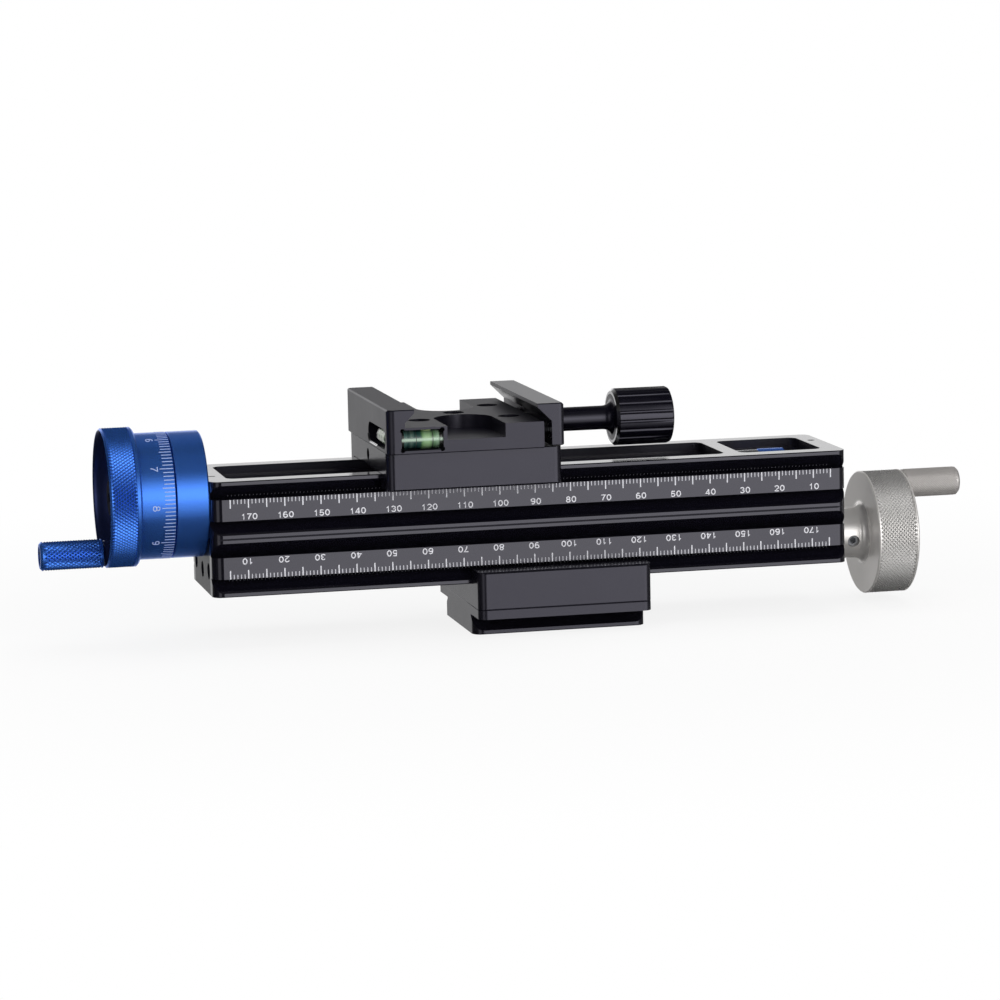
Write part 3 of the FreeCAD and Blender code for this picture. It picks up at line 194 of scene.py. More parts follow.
# %% The anodised finishes
STAINS_PER_METRE, DIE_LINES_PER_METRE = 90.0, 1400.0  # 11 mm and 0.7 mm across
GLOSS_DRIFT, DYE_DRIFT = 0.04, 0.08


def drift(colour, spread):
    """The two sides of a Mix node: a colour made darker and lighter by a share of itself."""
    light = linear(colour)[:3]
    return {
        "Color1": [(1 - spread) * c for c in light] + [1.0],
        "Color2": [min(1.0, (1 + spread) * c) for c in light] + [1.0],
    }


def anodised(name, dye, roughness, grain_mm=0.25, relief_mm=0.004, drawn=1.0, top_roughness=None,
             patch=None, **sockets):
    """Dyed aluminium: a broad noise drives colour and gloss, and a fine one is the grain.

    drawn stretches the broad noise along X into the lines of a die. top_roughness is for parts
    whose faces that look up were blasted harder, so that a camera plate grips. patch is the
    middle and half size in mm of a box, and the roughness of what lies inside it."""
    material, tree, place = new_material(name)
    broad = add(
        tree, "TexNoise", Detail=2.0,
        Vector=add(tree, "Mapping", Vector=place, Scale=(1 / drawn, 1.0, 1.0)),
        Scale=STAINS_PER_METRE if drawn == 1 else DIE_LINES_PER_METRE,
    )
    grain = add(tree, "TexNoise", Vector=place, Scale=1 / (grain_mm * MM), Detail=1.0)
    gloss = add(
        tree, "MapRange", Value=broad,
        To_Min=roughness - GLOSS_DRIFT, To_Max=roughness + GLOSS_DRIFT,
    )
    if top_roughness:
        facing = add(tree, "TexCoord").outputs["Normal"]
        upward = add(tree, "SeparateXYZ", Vector=facing).outputs["Z"]
        gloss = add(
            tree, "MapRange", Value=upward, From_Min=0.8, From_Max=0.95,
            To_Min=gloss, To_Max=top_roughness,
        )
    if patch:
        middle, half_size, patch_roughness = patch
        off = add(
            tree, "VectorMath", {"operation": "SUBTRACT"}, _0=place,
            _1=[m * MM for m in middle],
        )
        off = add(tree, "VectorMath", {"operation": "ABSOLUTE"}, _0=off)
        off = add(tree, "SeparateXYZ", Vector=off).outputs
        near_x, near_y, near_z = [
            add(tree, "Math", {"operation": "LESS_THAN"}, _0=off[k], _1=half * MM)
            for k, half in enumerate(half_size)
        ]
        inside = add(tree, "Math", TIMES, _0=near_x, _1=near_y)
        inside = add(tree, "Math", TIMES, _0=inside, _1=near_z)
        gloss = add(tree, "MapRange", Value=inside, To_Min=gloss, To_Max=patch_roughness)
    shader = add(
        tree, "BsdfPrincipled", Roughness=gloss, **sockets,
        Base_Color=add(tree, "MixRGB", Fac=broad, **drift(dye, DYE_DRIFT)),
        Normal=add(tree, "Bump", Height=grain, Distance=relief_mm * MM, Strength=0.6),
    )
    add(tree, "OutputMaterial", Surface=shader)
    return material


def black(kind, dye, roughness, ior=1.68, relief_mm=0.001, **more):
    """Black anodising. Its film mirrors a little less red and green than blue."""
    return anodised(
        kind + "_black_anodised_aluminium", dye, roughness, relief_mm=relief_mm, IOR=ior,
        Specular_Tint=(0.86, 0.84, 1.0, 1.0), **more,
    )


# a clear coat makes the outer faces shine, and what lies deep between the rails is dull
drawn_black = black(
    "drawn", "#0b0a12", 0.14, relief_mm=0.0004, drawn=300.0, Coat_Weight=0.4,
    Coat_Roughness=0.08, Coat_IOR=1.6, patch=((0, 0, JOINT), (500, 13.45, 15.85), 0.6),
)
satin_black = black("satin", "#121118", 0.24)
blasted_black = black("blasted", "#121118", 0.3, top_roughness=0.46)
jaw_black = black("moving_jaw", "#121118", 0.28, top_roughness=0.32)
turned_black = black("turned", "#0b0a12", 0.22, ior=1.6)
blue_anodised = anodised("blue_anodised_aluminium", "#4e8cff", 0.25, Metallic=0.85)
# a darker, greyer blue: painted shade for the depth of the drum's hollow
painted_shade_blue = anodised("blue_anodised_painted_shade", "#3c4678", 0.3, Metallic=0.85)

# the crank's hub is turned smooth, and its wheel is blasted
WHEEL_WIDTH = 11.95
crank_low, crank_high = box_of("crank_wheel")
half_hub = (crank_high[0] - WHEEL_WIDTH - crank_low[0]) / 2
natural_blasted = anodised(
    "natural_blasted_aluminium", "#eeebe8", 0.36, 0.35, 0.004, Metallic=0.6,
    patch=((crank_low[0] + half_hub, 0, LOWER_AXIS), (half_hub - 0.1, 9.5, 9.5), 0.22),
)
natural_rough = anodised("rough_natural_aluminium", "#c8c4c1", 0.4, 0.3, 0.008, Metallic=0.6)
natural_knurl = anodised(
    "knurled_natural_aluminium", "#f2f0ee", 0.28, relief_mm=0.001, Metallic=0.8
)
bare_cut = anodised("bare_cut_aluminium", "#e4e4e6", 0.2, relief_mm=0.001, Metallic=1.0)
print("eleven finishes for aluminium")

# %% [markdown]
# ## Steel, bronze and acetal
# Turned steel keeps the fine rings of the lathe tool, so its highlights stretch along the axis.
# Every turned piece of this rail lies along X, so a wave that runs along X at the feed of the
# tool, 0.2 mm, draws those rings. The screws are hardened steel with black oxide, a dark film
# that dims the steel's shine from every side. The nuts are cast bronze, and the strips that
# take up the play are white acetal.

# %% The hard metals and the plastic
TOOL_FEED, RING_RELIEF = 0.2, 0.003  # in millimetres
BAND_AT_SCALE_1 = 0.314  # the period of a Wave texture, in metres
SMUDGES_PER_METRE, SPECKLES_PER_METRE = 200.0, 900.0  # 5 mm and 1.1 mm across


def turned_metal(name, colour, roughness, **sockets):
    """Lathe-turned metal: faint rings at the feed of the tool, and soft smudges in the gloss."""
    material, tree, place = new_material(name)
    rings = add(
        tree, "TexWave", {"bands_direction": "X"}, Vector=place,
        Scale=BAND_AT_SCALE_1 / (TOOL_FEED * MM), Distortion=0.4, Detail=1.0,
    )
    smudge = add(tree, "TexNoise", Vector=place, Scale=SMUDGES_PER_METRE, Detail=3.0)
    shader = add(
        tree, "BsdfPrincipled", Base_Color=linear(colour), Metallic=1.0, **sockets,
        Roughness=add(
            tree, "MapRange", Value=smudge,
            To_Min=roughness - 0.06, To_Max=roughness + 0.06,
        ),
        Normal=add(
            tree, "Bump", Height=rings.outputs["Fac"], Distance=RING_RELIEF * MM,
            Strength=0.5,
        ),
    )
    add(tree, "OutputMaterial", Surface=shader)
    return material


def plain_finish(name, colour, roughness, speckle=0.1, **sockets):
    """A dielectric surface whose colour drifts by a small share, as moulded or printed ones do."""
    material, tree, place = new_material(name)
    noise = add(tree, "TexNoise", Vector=place, Scale=SPECKLES_PER_METRE, Detail=2.0)
    shader = add(
        tree, "BsdfPrincipled", Roughness=roughness, **sockets,
        Base_Color=add(tree, "MixRGB", Fac=noise, **drift(colour, speckle)),
    )
    add(tree, "OutputMaterial", Surface=shader)
    return material


turned_steel = turned_metal("turned_steel", "#b9bbbf", 0.26)
black_oxide_steel = turned_metal(
    "black_oxide_steel", "#2b2b2e", 0.34, Specular_Tint=(0.25, 0.25, 0.28, 1.0)
)
cast_bronze = turned_metal("cast_bronze", "#a9803f", 0.35)
white_acetal = plain_finish("white_acetal", "#d9d6cc", 0.45)
print("steel, black oxide, bronze and acetal")

# %% [markdown]
# ## Laser marks and the spirit levels
# The scales are burnt into the black oxide by a laser, which leaves a rough pale surface of bare
# oxide, without gloss. On the blue drum the same marks look bluish. The levels are cast acrylic,
# which has an IOR of 1.49, round green spirit. A path tracer can't follow a lamp's light straight
# through acrylic, so shadow rays pass as if it weren't there. Shade and light are painted into the
# spirit's colour. It is painted dark where only the black pocket is behind it and pale where the
# bubble lets light through, so its colour runs along the level from one to the other, and a
# painted highlight line runs along its middle.

# %% Marks, acrylic and spirit
laser_white = plain_finish("laser_marked_oxide", "#e6e6ec", 0.75, 0.06)
laser_fine = plain_finish("laser_fine_lines", "#cfcfd6", 0.75, 0.06)
laser_pale_blue = plain_finish("laser_marked_blue_oxide", "#aab8e4", 0.7, 0.06)
laser_dim = plain_finish("laser_overrun", "#6a6a70", 0.6)
printed_black = plain_finish("printed_black_ring", "#101214", 0.4)
cap_plastic = plain_finish("black_end_cap", "#161817", 0.35)
pale_spirit = plain_finish("pale_spirit", "#c6cfc0", 0.3)
air_bubble = plain_finish("air_bubble", "#c3d79a", 0.15)

FLOW_PER_METRE = 400.0  # the casting's flow marks, 2.5 mm across
acrylic_tint = linear("#f4fbf2")
clear_acrylic, tree, place = new_material("clear_acrylic")
flow = add(tree, "TexNoise", Vector=place, Scale=FLOW_PER_METRE, Detail=1.0)
glass = add(
    tree, "BsdfPrincipled", Base_Color=acrylic_tint, IOR=1.49, Transmission_Weight=1.0,
    Roughness=add(tree, "MapRange", Value=flow, To_Min=0.03, To_Max=0.07),
)
path = add(tree, "LightPath").outputs
straight = add(tree, "Math", LARGER, _0=path["Is Shadow Ray"], _1=path["Is Diffuse Ray"])
mixed = add(
    tree, "MixShader", _0=straight, _1=glass,
    _2=add(tree, "BsdfTransparent", Color=acrylic_tint),
)
add(tree, "OutputMaterial", Surface=mixed)


def spirit_along(name, start, stop, tints, middle):
    """Spirit whose colour, a painted shade and light, depends on the place along X, from start to
    stop in millimetres.

    A painted highlight line along the height middle stands for the light that the round acrylic
    gathers there."""
    material, tree, place = new_material(name)
    apart = add(tree, "SeparateXYZ", Vector=place).outputs
    # the colour along X is painted shade and light, not the spirit's own tint
    share = add(tree, "MapRange", Value=apart["X"], From_Min=start * MM, From_Max=stop * MM)
    along = add(tree, "ValToRGB", Fac=share)
    set_stops(along, [(at, linear(tint)) for at, tint in tints])
    flattened = add(tree, "Mapping", Vector=place, Scale=(1.0, 0.05, 0.05))
    streaks = add(tree, "TexNoise", Vector=flattened, Scale=SPECKLES_PER_METRE, Detail=2.0)
    streaks = add(tree, "MapRange", Value=streaks, From_Min=0.5, From_Max=0.8, To_Max=0.35)
    # a painted highlight line, brightest at the height middle
    off_line = add(tree, "Math", {"operation": "SUBTRACT"}, _0=apart["Z"], _1=middle * MM)
    off_line = add(tree, "Math", {"operation": "ABSOLUTE"}, _0=off_line)
    painted_highlight_line = add(
        tree, "MapRange", SMOOTH, Value=off_line, From_Min=0.1 * MM,
        From_Max=0.6 * MM, To_Min=0.75, To_Max=0.0,
    )
    # the painted highlight and the pale streaks lift the colour towards pale green
    light = add(tree, "Math", LARGER, _0=painted_highlight_line, _1=streaks)
    colour = add(tree, "MixRGB", Fac=light, Color1=along, Color2=linear("#c9dccf"))
    shader = add(tree, "BsdfPrincipled", Base_Color=colour, Roughness=0.25, IOR=1.36)
    add(tree, "OutputMaterial", Surface=shader)
    return material


print("marks, acrylic, spirit and bubble")

# %% [markdown]
# ## Giving the solids their finishes
# A solid only takes a material here. The rule is what the part is made of, so it follows from
# the solid's name: screws are black oxide, lead screws and pins are plain steel, rails are
# drawn, the clamp is blasted, the drum's parts are blue and the crank's are natural. The keys
# are tried in their order, so that the screw of a nut isn't taken for a nut.

# %% Hand out the finishes
FINISHES = {
    "_lead_screw": turned_steel, "_grub_screw": turned_steel, "screw": black_oxide_steel,
    "_pin": turned_steel, "_bolt": turned_steel, "_lock_nut": turned_steel,
    "_nut": cast_bronze, "_bush": cast_bronze, "_gib": white_acetal, "_vial": clear_acrylic,
    "_collar": blue_anodised, "graduated_drum": blue_anodised, "drum_handle": blue_anodised,
    "crank_wheel": natural_blasted, "crank_handle": natural_rough, "_rail": drawn_black,
    "clamp_body": blasted_black, "moving_jaw": jaw_black,
}


def finish_for(node):
    """The first finish whose key is part of the solid's name, or else satin black."""
    return next((finish for key, finish in FINISHES.items() if key in node), satin_black)


for node, solid in nodes.items():
    solid.data.materials.clear()
    solid.data.materials.append(finish_for(node))
print(sum(finish_for(node) is black_oxide_steel for node in nodes), "solids are black screws")

# %% [markdown]
# ## Surfaces from arrays
# Every new piece is a function of two parameters worked out for a whole grid at once. The grid
# becomes quads whose corners are numbered row by row, and either direction can close on itself,
# so a ring closes round its axis and a tube's wall closes along its section. Where a profile
# reaches the axis its whole row meets in one point, so such points are merged, and Blender then
# turns the faces of each closed surface outwards.

# %% From a grid of points to a piece


def quads(rows, columns, close_rows, close_columns):
    """The four corner numbers of each cell of a grid that is numbered row by row."""
    row = np.arange(rows if close_rows else rows - 1)[:, None]
    column = np.arange(columns if close_columns else columns - 1)[None, :]
    next_row = (row + 1) % rows
    next_column = (column + 1) % columns
    corners = [
        row * columns + column, next_row * columns + column,
        next_row * columns + next_column, row * columns + next_column,
    ]
    return np.stack(corners, -1).reshape(-1, 4)


def make_piece(name, points, faces, material, body, slot, smooth=True):
    """Puts points in millimetres and their faces into a mesh that rides on a body.

    Points that meet, as at the poles, become one, and then all faces are turned outwards."""
    points = np.asarray(points, float).reshape(-1, 3) * MM
    mesh = bpy.data.meshes.new(name)
    mesh.vertices.add(len(points))
    mesh.vertices.foreach_set("co", points.ravel())
    mesh.loops.add(faces.size)
    mesh.loops.foreach_set("vertex_index", faces.ravel().astype(np.int32))
    mesh.polygons.add(len(faces))
    starts = np.arange(len(faces), dtype=np.int32) * faces.shape[1]
    mesh.polygons.foreach_set("loop_start", starts)
    mesh.polygons.foreach_set("use_smooth", np.full(len(faces), smooth))
    mesh.update(calc_edges=True)
    shell = bmesh.new()
    shell.from_mesh(mesh)
    bmesh.ops.remove_doubles(shell, verts=shell.verts, dist=0.001 * MM)
    bmesh.ops.recalc_face_normals(shell, faces=shell.faces)
    shell.to_mesh(mesh)
    shell.free()
    mesh.validate()
    if smooth:
        mesh.set_sharp_from_angle(angle=math.radians(30))
    mesh.materials.append(material)
    piece = bpy.data.objects.new(name, mesh)
    bpy.context.scene.collection.objects.link(piece)
    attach(piece, body)
    return piece


def round_axis(along, radius, angle, axis_z):
    """Turns (distance along X, radius, angle) into points. Angle 0 faces front, 90 degrees up."""
    along, radius, angle = np.broadcast_arrays(along, radius, angle)
    return np.stack([along, -radius * np.cos(angle), axis_z + radius * np.sin(angle)], -1)


def angles(columns):
    """Equal steps round an axis, without the last one, which is the first again."""
    return np.arange(columns) / columns * 2 * np.pi


def moved(x, y, z):
    """A function that moves points by x, y and z."""
    return lambda points: points + np.array([x, y, z])


def turned_piece(name, profile, place, material, body, slot, columns=32, ring=False):
    """Sweeps a profile of (distance, radius) round the X axis, and place() puts it on the rail.

    ring closes the profile on itself, for a piece that doesn't reach its axis."""
    profile = np.asarray(profile, float)
    points = round_axis(profile[:, :1], profile[:, 1:], angles(columns), 0.0)
    faces = quads(len(profile), columns, ring, True)
    return make_piece(name, place(points), faces, material, body, slot)


print("a 3 by 4 grid has", len(quads(3, 4, False, True)), "cells when it closes round its axis")

# %% [markdown]
# ## The drum's body
# The drum is turned from one bar. Its outer side is hollow: behind a rounded mouth the wall runs
# in almost straight to a floor, and a hub stands on the floor for the cap screw. All is one
# profile of (distance, radius) swept round the axis. The hollow and the boss in it are given a
# darker blue, which is painted shade for the hollow's depth. The handle stands on a boss of its
# own, the same kind of sweep round the handle's axis.

# %% Turn the drum
drum_low, drum_high = box_of("graduated_drum")
RIM_RADIUS, DRUM_RADIUS, HANDLE_OFFSET = 19.2, 17.4, 15.2
RIM_LENGTH, SLEEVE_LENGTH, HOLLOW_DEPTH, MOUTH_RADIUS = 8.8, 9.3, 5.5, 18.62
rim_right = drum_low[0] + RIM_LENGTH
seam = rim_right + SLEEVE_LENGTH
drum_length = drum_high[0] - drum_low[0]
hollow = [
    (4.0, 0.0), (4.0, 5.7), (4.15, 6.0), (5.2, 6.2), (HOLLOW_DEPTH, 6.6), (HOLLOW_DEPTH, 17.0),
    (5.2, 17.6), (4.6, 17.9), (2.2, 18.0), (1.3, 18.08), (0.7, 18.2), (0.3, 18.4),
    (0.05, MOUTH_RADIUS),
]
outside = [
    (0.0, RIM_RADIUS - 0.5), (0.5, RIM_RADIUS), (0.5, RIM_RADIUS - 0.3), (7.5, RIM_RADIUS - 0.3),
    (7.5, RIM_RADIUS), (8.3, RIM_RADIUS), (RIM_LENGTH, RIM_RADIUS - 0.5),
    (RIM_LENGTH, DRUM_RADIUS), (17.95, DRUM_RADIUS), (18.1, DRUM_RADIUS - 0.15), (18.1, 15.2),
    (11.8, 15.2), (11.8, 6.0), (drum_length, 6.0), (drum_length, 0.0),
]
drum = turned_piece("drum_body", hollow + outside, moved(drum_low[0], 0.0, UPPER_AXIS),
                    blue_anodised, "upper_screw", "blue_anodised", 144)
# the faces inside the mouth take the darker blue, a painted shade
drum.data.materials.append(painted_shade_blue)
centre = np.empty(3 * len(drum.data.polygons))
drum.data.polygons.foreach_get("center", centre)
x, y, z = (centre.reshape(-1, 3) / MM - [drum_low[0], 0.0, UPPER_AXIS]).T
gets_painted_shade = (x < HOLLOW_DEPTH + 0.1) & (np.hypot(y, z) < MOUTH_RADIUS + 0.01)
drum.data.polygons.foreach_set("material_index", gets_painted_shade.astype(np.int32))
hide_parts("graduated_drum")
turned_piece(
    "drum_handle_boss", [(0.05, 0.0), (0.05, 3.3), (0.3, 3.55), (5.7, 3.55), (5.7, 0.0)],
    moved(drum_low[0], 0.0, UPPER_AXIS - HANDLE_OFFSET), painted_shade_blue, "upper_screw",
    "blue_anodised", 48,
)
print("the drum is", round(drum_length, 1), "mm long")

# %% [markdown]
# ## Knurling
# The drum's rim, the crank's rim and both handles are gripped by fingers, so two rollers press
# crossed spiral grooves into them, and what stands between the grooves are small pyramids. A
# bump map would leave the outline smooth, so here it is real relief. The grid has two steps to
# a pyramid both ways, so that crests and hollows take turns like the squares of a chessboard,
# and each cell is split into two triangles along the line that joins its hollows.

# %% The knurled bands


def knurled_band(name, left, right, root, crest, pitches, axis_z, body, material, slot):
    """A ring whose radius is the crest's where row + column is odd, and the root's elsewhere.

    The first and last row stay at the root, and a wall 0.2 mm below it closes the ring."""
    pitch_round, pitch_along = pitches
    columns = 2 * round(2 * np.pi * crest / pitch_round)
    rows = round((right - left) / pitch_along * 2) + 1
    odd = (np.arange(rows)[:, None] + np.arange(columns)) % 2
    odd[[0, -1]] = 0
    along = np.append(np.linspace(left, right, rows), [right, left])
    radius = np.vstack([root + (crest - root) * odd, np.full((2, columns), root - 0.2)])
    points = round_axis(along[:, None], radius, angles(columns), axis_z)
    faces = quads(rows + 2, columns, True, True)
    turned = faces[:, 0] // columns % 2 != faces[:, 0] % columns % 2
    faces[turned] = np.roll(faces[turned], 1, axis=1)
    faces = faces[:, [0, 1, 2, 0, 2, 3]].reshape(-1, 3)
    print(name, "has", columns // 2, "pyramids round it and", len(faces), "faces")
    return make_piece(name, points, faces, material, body, slot, smooth=False)


knurled_band(
    "drum_rim_knurl", drum_low[0] + 0.5, rim_right - 1.1, 18.92, 19.2, (1.0, 1.48), UPPER_AXIS,
    "upper_screw", blue_anodised, "blue_anodised",
)
handle_low, handle_high = box_of("drum_handle")
knurled_band(
    "drum_handle_knurl", handle_low[0] + 0.9, handle_high[0] - 0.6, 3.66, 4.0, (1.05, 1.48),
    (handle_low[2] + handle_high[2]) / 2, "drum_handle", blue_anodised, "blue_anodised",
)
knurled_band(
    "crank_rim_knurl", crank_high[0] - 11.35, crank_high[0] - 0.6, 17.15, 17.45, (1.16, 1.1),
    LOWER_AXIS, "lower_screw", natural_knurl, "silver_anodised",
)
grip_low, grip_high = box_of("crank_handle")
knurled_band(
    "crank_handle_knurl", grip_low[0] + 0.7, grip_high[0] - 0.9, 4.0, 4.08, (0.7, 0.7),
    (grip_low[2] + grip_high[2]) / 2, "crank_handle", natural_rough, "silver_anodised",
)

# %% [markdown]
# ## The lead screws
# Each deck is moved by a screw with one millimetre of travel to a turn, so that a hundredth of
# a turn, one line of the drum, is a hundredth of a millimetre. The thread is one surface: its
# radius is a trapezium that depends on the distance along the axis less the turn's share of the
# lead. A grid that steps six times along each turn and closes round the axis catches its flanks.

# %% Cut the threads
SCREW_COLUMNS, STEPS_PER_TURN = 40, 6
CORE_RADIUS, THREAD_DEPTH, JOURNAL_RADIUS = 2.45, 0.55, 2.5
TO_HANDLE, AWAY = 84.3, 56.2  # how far the thread reaches from the rail's middle


def lead_screw(name, node, axis_z, body, reach_left, reach_right):
    """Radius as a function of distance and angle: core + depth * T(along / lead - angle / turn).

    T is a trapezium wave. The grid starts and ends with the plain journals of the solid, and a
    row of zero radius closes each end."""
    low, high = box_of(node)
    first, last = RAIL_MIDDLE - reach_left, RAIL_MIDDLE + reach_right
    along = np.linspace(first, last, int((last - first) * STEPS_PER_TURN))
    angle = angles(SCREW_COLUMNS)
    # angle grows upwards from the front, which is against the right-hand turn about +X
    turns = along[:, None] + angle / (2 * np.pi)
    wave = np.clip(1.6 * np.abs(2 * (turns - np.floor(turns)) - 1) - 0.3, 0, 1)
    run_out = np.clip(np.minimum(along - first, last - along), 0, 1)[:, None]
    thread = CORE_RADIUS + THREAD_DEPTH * wave * run_out
    end = np.outer([0.0, JOURNAL_RADIUS, JOURNAL_RADIUS], np.ones(SCREW_COLUMNS))
    distance = np.concatenate([[low[0], low[0], first], along, [last, high[0], high[0]]])
    radius = np.concatenate([end, thread, end[::-1]])
    points = round_axis(distance[:, None], radius, angle, axis_z)
    faces = quads(len(distance), SCREW_COLUMNS, False, True)
    piece = make_piece(name, points, faces, turned_steel, body, "steel")
    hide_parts(node)
    print(name, "has", round(last - first), "turns")


lead_screw("upper_thread", "upper_lead_screw", UPPER_AXIS, "upper_screw", TO_HANDLE, AWAY)
lead_screw("lower_thread", "lower_lead_screw", LOWER_AXIS, "lower_screw", AWAY, TO_HANDLE)

# %% [markdown]
# ## The scales
# Both rails carry a millimetre scale along their raised strip, and the lower one is the upper
# one turned half way round, so that it reads from the other side. A line that the laser draws
# is flat, so each is a thin plate 0.02 mm proud of the strip, and all of a scale's lines are one
# mesh: eight corners and six faces each, worked out from arrays of low and high corners.

# %% Plates for engraved lines
PROUD, EDGE_GAP = 0.02, 0.02  # above the strip, and below its top edge


def plate_mesh(low, high):
    """Corners and faces of boxes, from arrays of their low and high corners."""
    pick = np.array([[i, j, k] for i in (0, 1) for j in (0, 1) for k in (0, 1)])
    corners = np.where(pick, high[:, None], low[:, None])
    sides = np.array([
        [0, 1, 3, 2], [4, 6, 7, 5], [0, 4, 5, 1], [2, 3, 7, 6], [0, 2, 6, 4], [1, 5, 7, 3],
    ])
    return corners, (np.arange(len(low))[:, None, None] * 8 + sides).reshape(-1, 4)


def columns_of(*values):
    """Arrays and single numbers side by side, as the coordinates of points."""
    return np.stack(np.broadcast_arrays(*values), -1)


def on_both_decks(kind, points, faces, finish):
    """Makes marks on the upper rail, and on the lower one half a turn round Y and the joint."""
    other_side = np.array([2 * RAIL_MIDDLE, 0.0, 2 * JOINT]) + points * [-1, 1, -1]
    for deck, placed in (("upper_", points), ("lower_", other_side)):
        make_piece(deck + kind, placed, faces, finish, "rail", "black_anodised", False)


STRIP_TOP = JOINT + 10.9
SCALE_END = RAIL_MIDDLE + 90.25
marks = np.arange(5, 176)
is_long = marks % 5 == 0
mark_x = SCALE_END - marks
half_line = np.where(is_long, 0.16, 0.12)
line_length = np.where(is_long, 2.38, 1.22)
low = columns_of(mark_x - half_line, FRONT - PROUD, STRIP_TOP - line_length)
high = columns_of(mark_x + half_line, FRONT + PROUD, STRIP_TOP - EDGE_GAP)
for kind, chosen, finish in (("long", is_long, laser_white), ("short", ~is_long, laser_fine)):
    on_both_decks("scale_" + kind, *plate_mesh(low[chosen], high[chosen]), finish)
print(len(marks), "lines on each scale,", int(is_long.sum()), "of them long")

# %% [markdown]
# Above each strip the laser's path runs on a little way on to the slope of the groove, and
# leaves a row of faint dots there. They lie on a 45 degree face, so each is a tiny plate that
# is worked out lying flat, as (distance, share of the way up, height over the slope), and is
# then leaned back.

# %% The overrun on the slope
HALF_DOT = 0.09
dot_x = mark_x - 0.1
flat, dot_faces = plate_mesh(
    columns_of(dot_x - HALF_DOT, 0.0, -PROUD), columns_of(dot_x + HALF_DOT, 1.0, PROUD)
)
# distance back from the strip's face and height over its top, at the dot's foot and head
foot, head = np.array([3.35, 0.55]), np.array([2.95, 0.95])
outward = np.array([-1.0, -1.0]) / np.sqrt(2)
leaned = foot + (head - foot) * flat[..., 1:2] + outward * flat[..., 2:]
dots = columns_of(flat[..., 0], FRONT + leaned[..., 0], STRIP_TOP + leaned[..., 1])
on_both_decks("overrun_dots", dots, dot_faces, laser_dim)
print("two rows of", len(dot_x), "dots")

# %% [markdown]
# ## Numbers
# Engraved digits are drawn by a tool of one width that follows a line, so each digit here is one
# or two paths of straight runs and arcs in a box 0.64 wide and 1 high. A path becomes a ribbon:
# each point is moved to both sides along the normal of the path there. The ribbon gets a hair
# of thickness, so that it is a closed slab like the lines of the scale. A digit's second path
# is a little thicker than its first, so that no two faces lie in one plane where they cross.

# %% Digits as strokes
DIGIT_WIDTH = 0.64


def bend(x, y, across, up, start, stop):
    """Points on an ellipse round (x, y), from one angle in degrees to another."""
    angle = np.radians(np.linspace(start, stop, max(4, int(abs(stop - start) / 22) + 1)))
    return np.column_stack([x + across * np.cos(angle), y + up * np.sin(angle)])


six = [bend(0.33, 0.5, 0.27, 0.46, 52, 195), bend(0.32, 0.3, 0.26, 0.27, 90, 450)]
STROKES = {
    "0": [bend(0.32, 0.5, 0.26, 0.46, 90, 450)],
    "1": [[(0.16, 0.74), (0.3, 0.79), (0.38, 0.96), (0.38, 0.0)]],
    "2": [[*bend(0.32, 0.7, 0.26, 0.26, 170, -38), (0.06, 0.04), (0.6, 0.04)]],
    "3": [[*bend(0.31, 0.73, 0.22, 0.23, 165, -80), *bend(0.31, 0.27, 0.26, 0.23, 80, -165)]],
    "4": [[(0.46, 0.0), (0.46, 1.0)], [(0.44, 0.96), (0.05, 0.26), (0.62, 0.26)]],
    "5": [[(0.56, 0.95), (0.16, 0.95), *bend(0.31, 0.31, 0.26, 0.27, 140, -160)]],
    "6": six,
    "7": [[(0.05, 0.95), (0.59, 0.95), (0.4, 0.6), (0.28, 0.3), (0.22, 0.0)]],
    "8": [bend(0.32, 0.74, 0.21, 0.22, 90, 450), bend(0.32, 0.27, 0.26, 0.24, 90, 450)],
    "9": [np.array([DIGIT_WIDTH, 1.0]) - path for path in six],
}


def ribbon(path, half_width, thickness):
    """A slab along a path: each point goes to both sides along the mean normal of its two runs.

    Points that meet again at the end of the path close it into a ring."""
    ring = bool(np.allclose(path[0], path[-1], atol=1e-6))
    path = path[:-1] if ring else path
    before = np.roll(path, 1, 0) if ring else np.vstack([2 * path[0] - path[1], path[:-1]])
    after = np.roll(path, -1, 0) if ring else np.vstack([path[1:], 2 * path[-1] - path[-2]])
    runs = [path - before, after - path]
    runs = [run / np.linalg.norm(run, axis=1)[:, None] for run in runs]
    normals = [np.column_stack([-run[:, 1], run[:, 0]]) for run in runs]
    mean = normals[0] + normals[1]
    mean /= np.linalg.norm(mean, axis=1)[:, None]
    mitre = 1 / np.maximum(0.6, (mean * normals[0]).sum(1))
    shift = mean * (half_width * mitre)[:, None]
    rim = [
        np.insert(side, 2, height, axis=1) for side, height in (
            (path + shift, thickness / 2), (path + shift, -thickness / 2),
            (path - shift, -thickness / 2), (path - shift, thickness / 2),
        )
    ]
    faces = quads(len(path), 4, ring, True)
    if not ring:
        last = 4 * len(path) - 4
        faces = np.vstack([faces, [[0, 1, 2, 3]], [[last + 3, last + 2, last + 1, last]]])
    return np.stack(rim, 1).reshape(-1, 3), faces


def gather(parts):
    """Joins several (points, faces) pairs into one."""
    starts = np.cumsum([0] + [len(points) for points, _ in parts])
    faces = [some_faces + start for (_, some_faces), start in zip(parts, starts)]
    return np.concatenate([points for points, _ in parts]), np.concatenate(faces)


def digits(text, height, stroke):
    """Slabs of a number's digits, centred on the origin. stroke is the tool's width in mm.

    The first path of a digit is twice as thick as the plates stand proud, and half of it sinks
    into the metal."""
    parts = []
    margin = stroke / height
    for number, character in enumerate(text):
        offset = (0.86 * (number - (len(text) - 1) / 2) - 0.35) * height
        for order, path in enumerate(STROKES[character]):
            inside = np.array([0.0, margin / 2]) + np.asarray(path) * np.array([1.1, 1 - margin])
            points, faces = ribbon(inside * height, stroke / 2, 2 * PROUD + 0.01 * order)
            parts.append((points + np.array([offset, -height / 2, 0.0]), faces))
    return gather(parts)


print("an 8 has", len(digits("8", 2.0, 0.22)[1]), "faces")

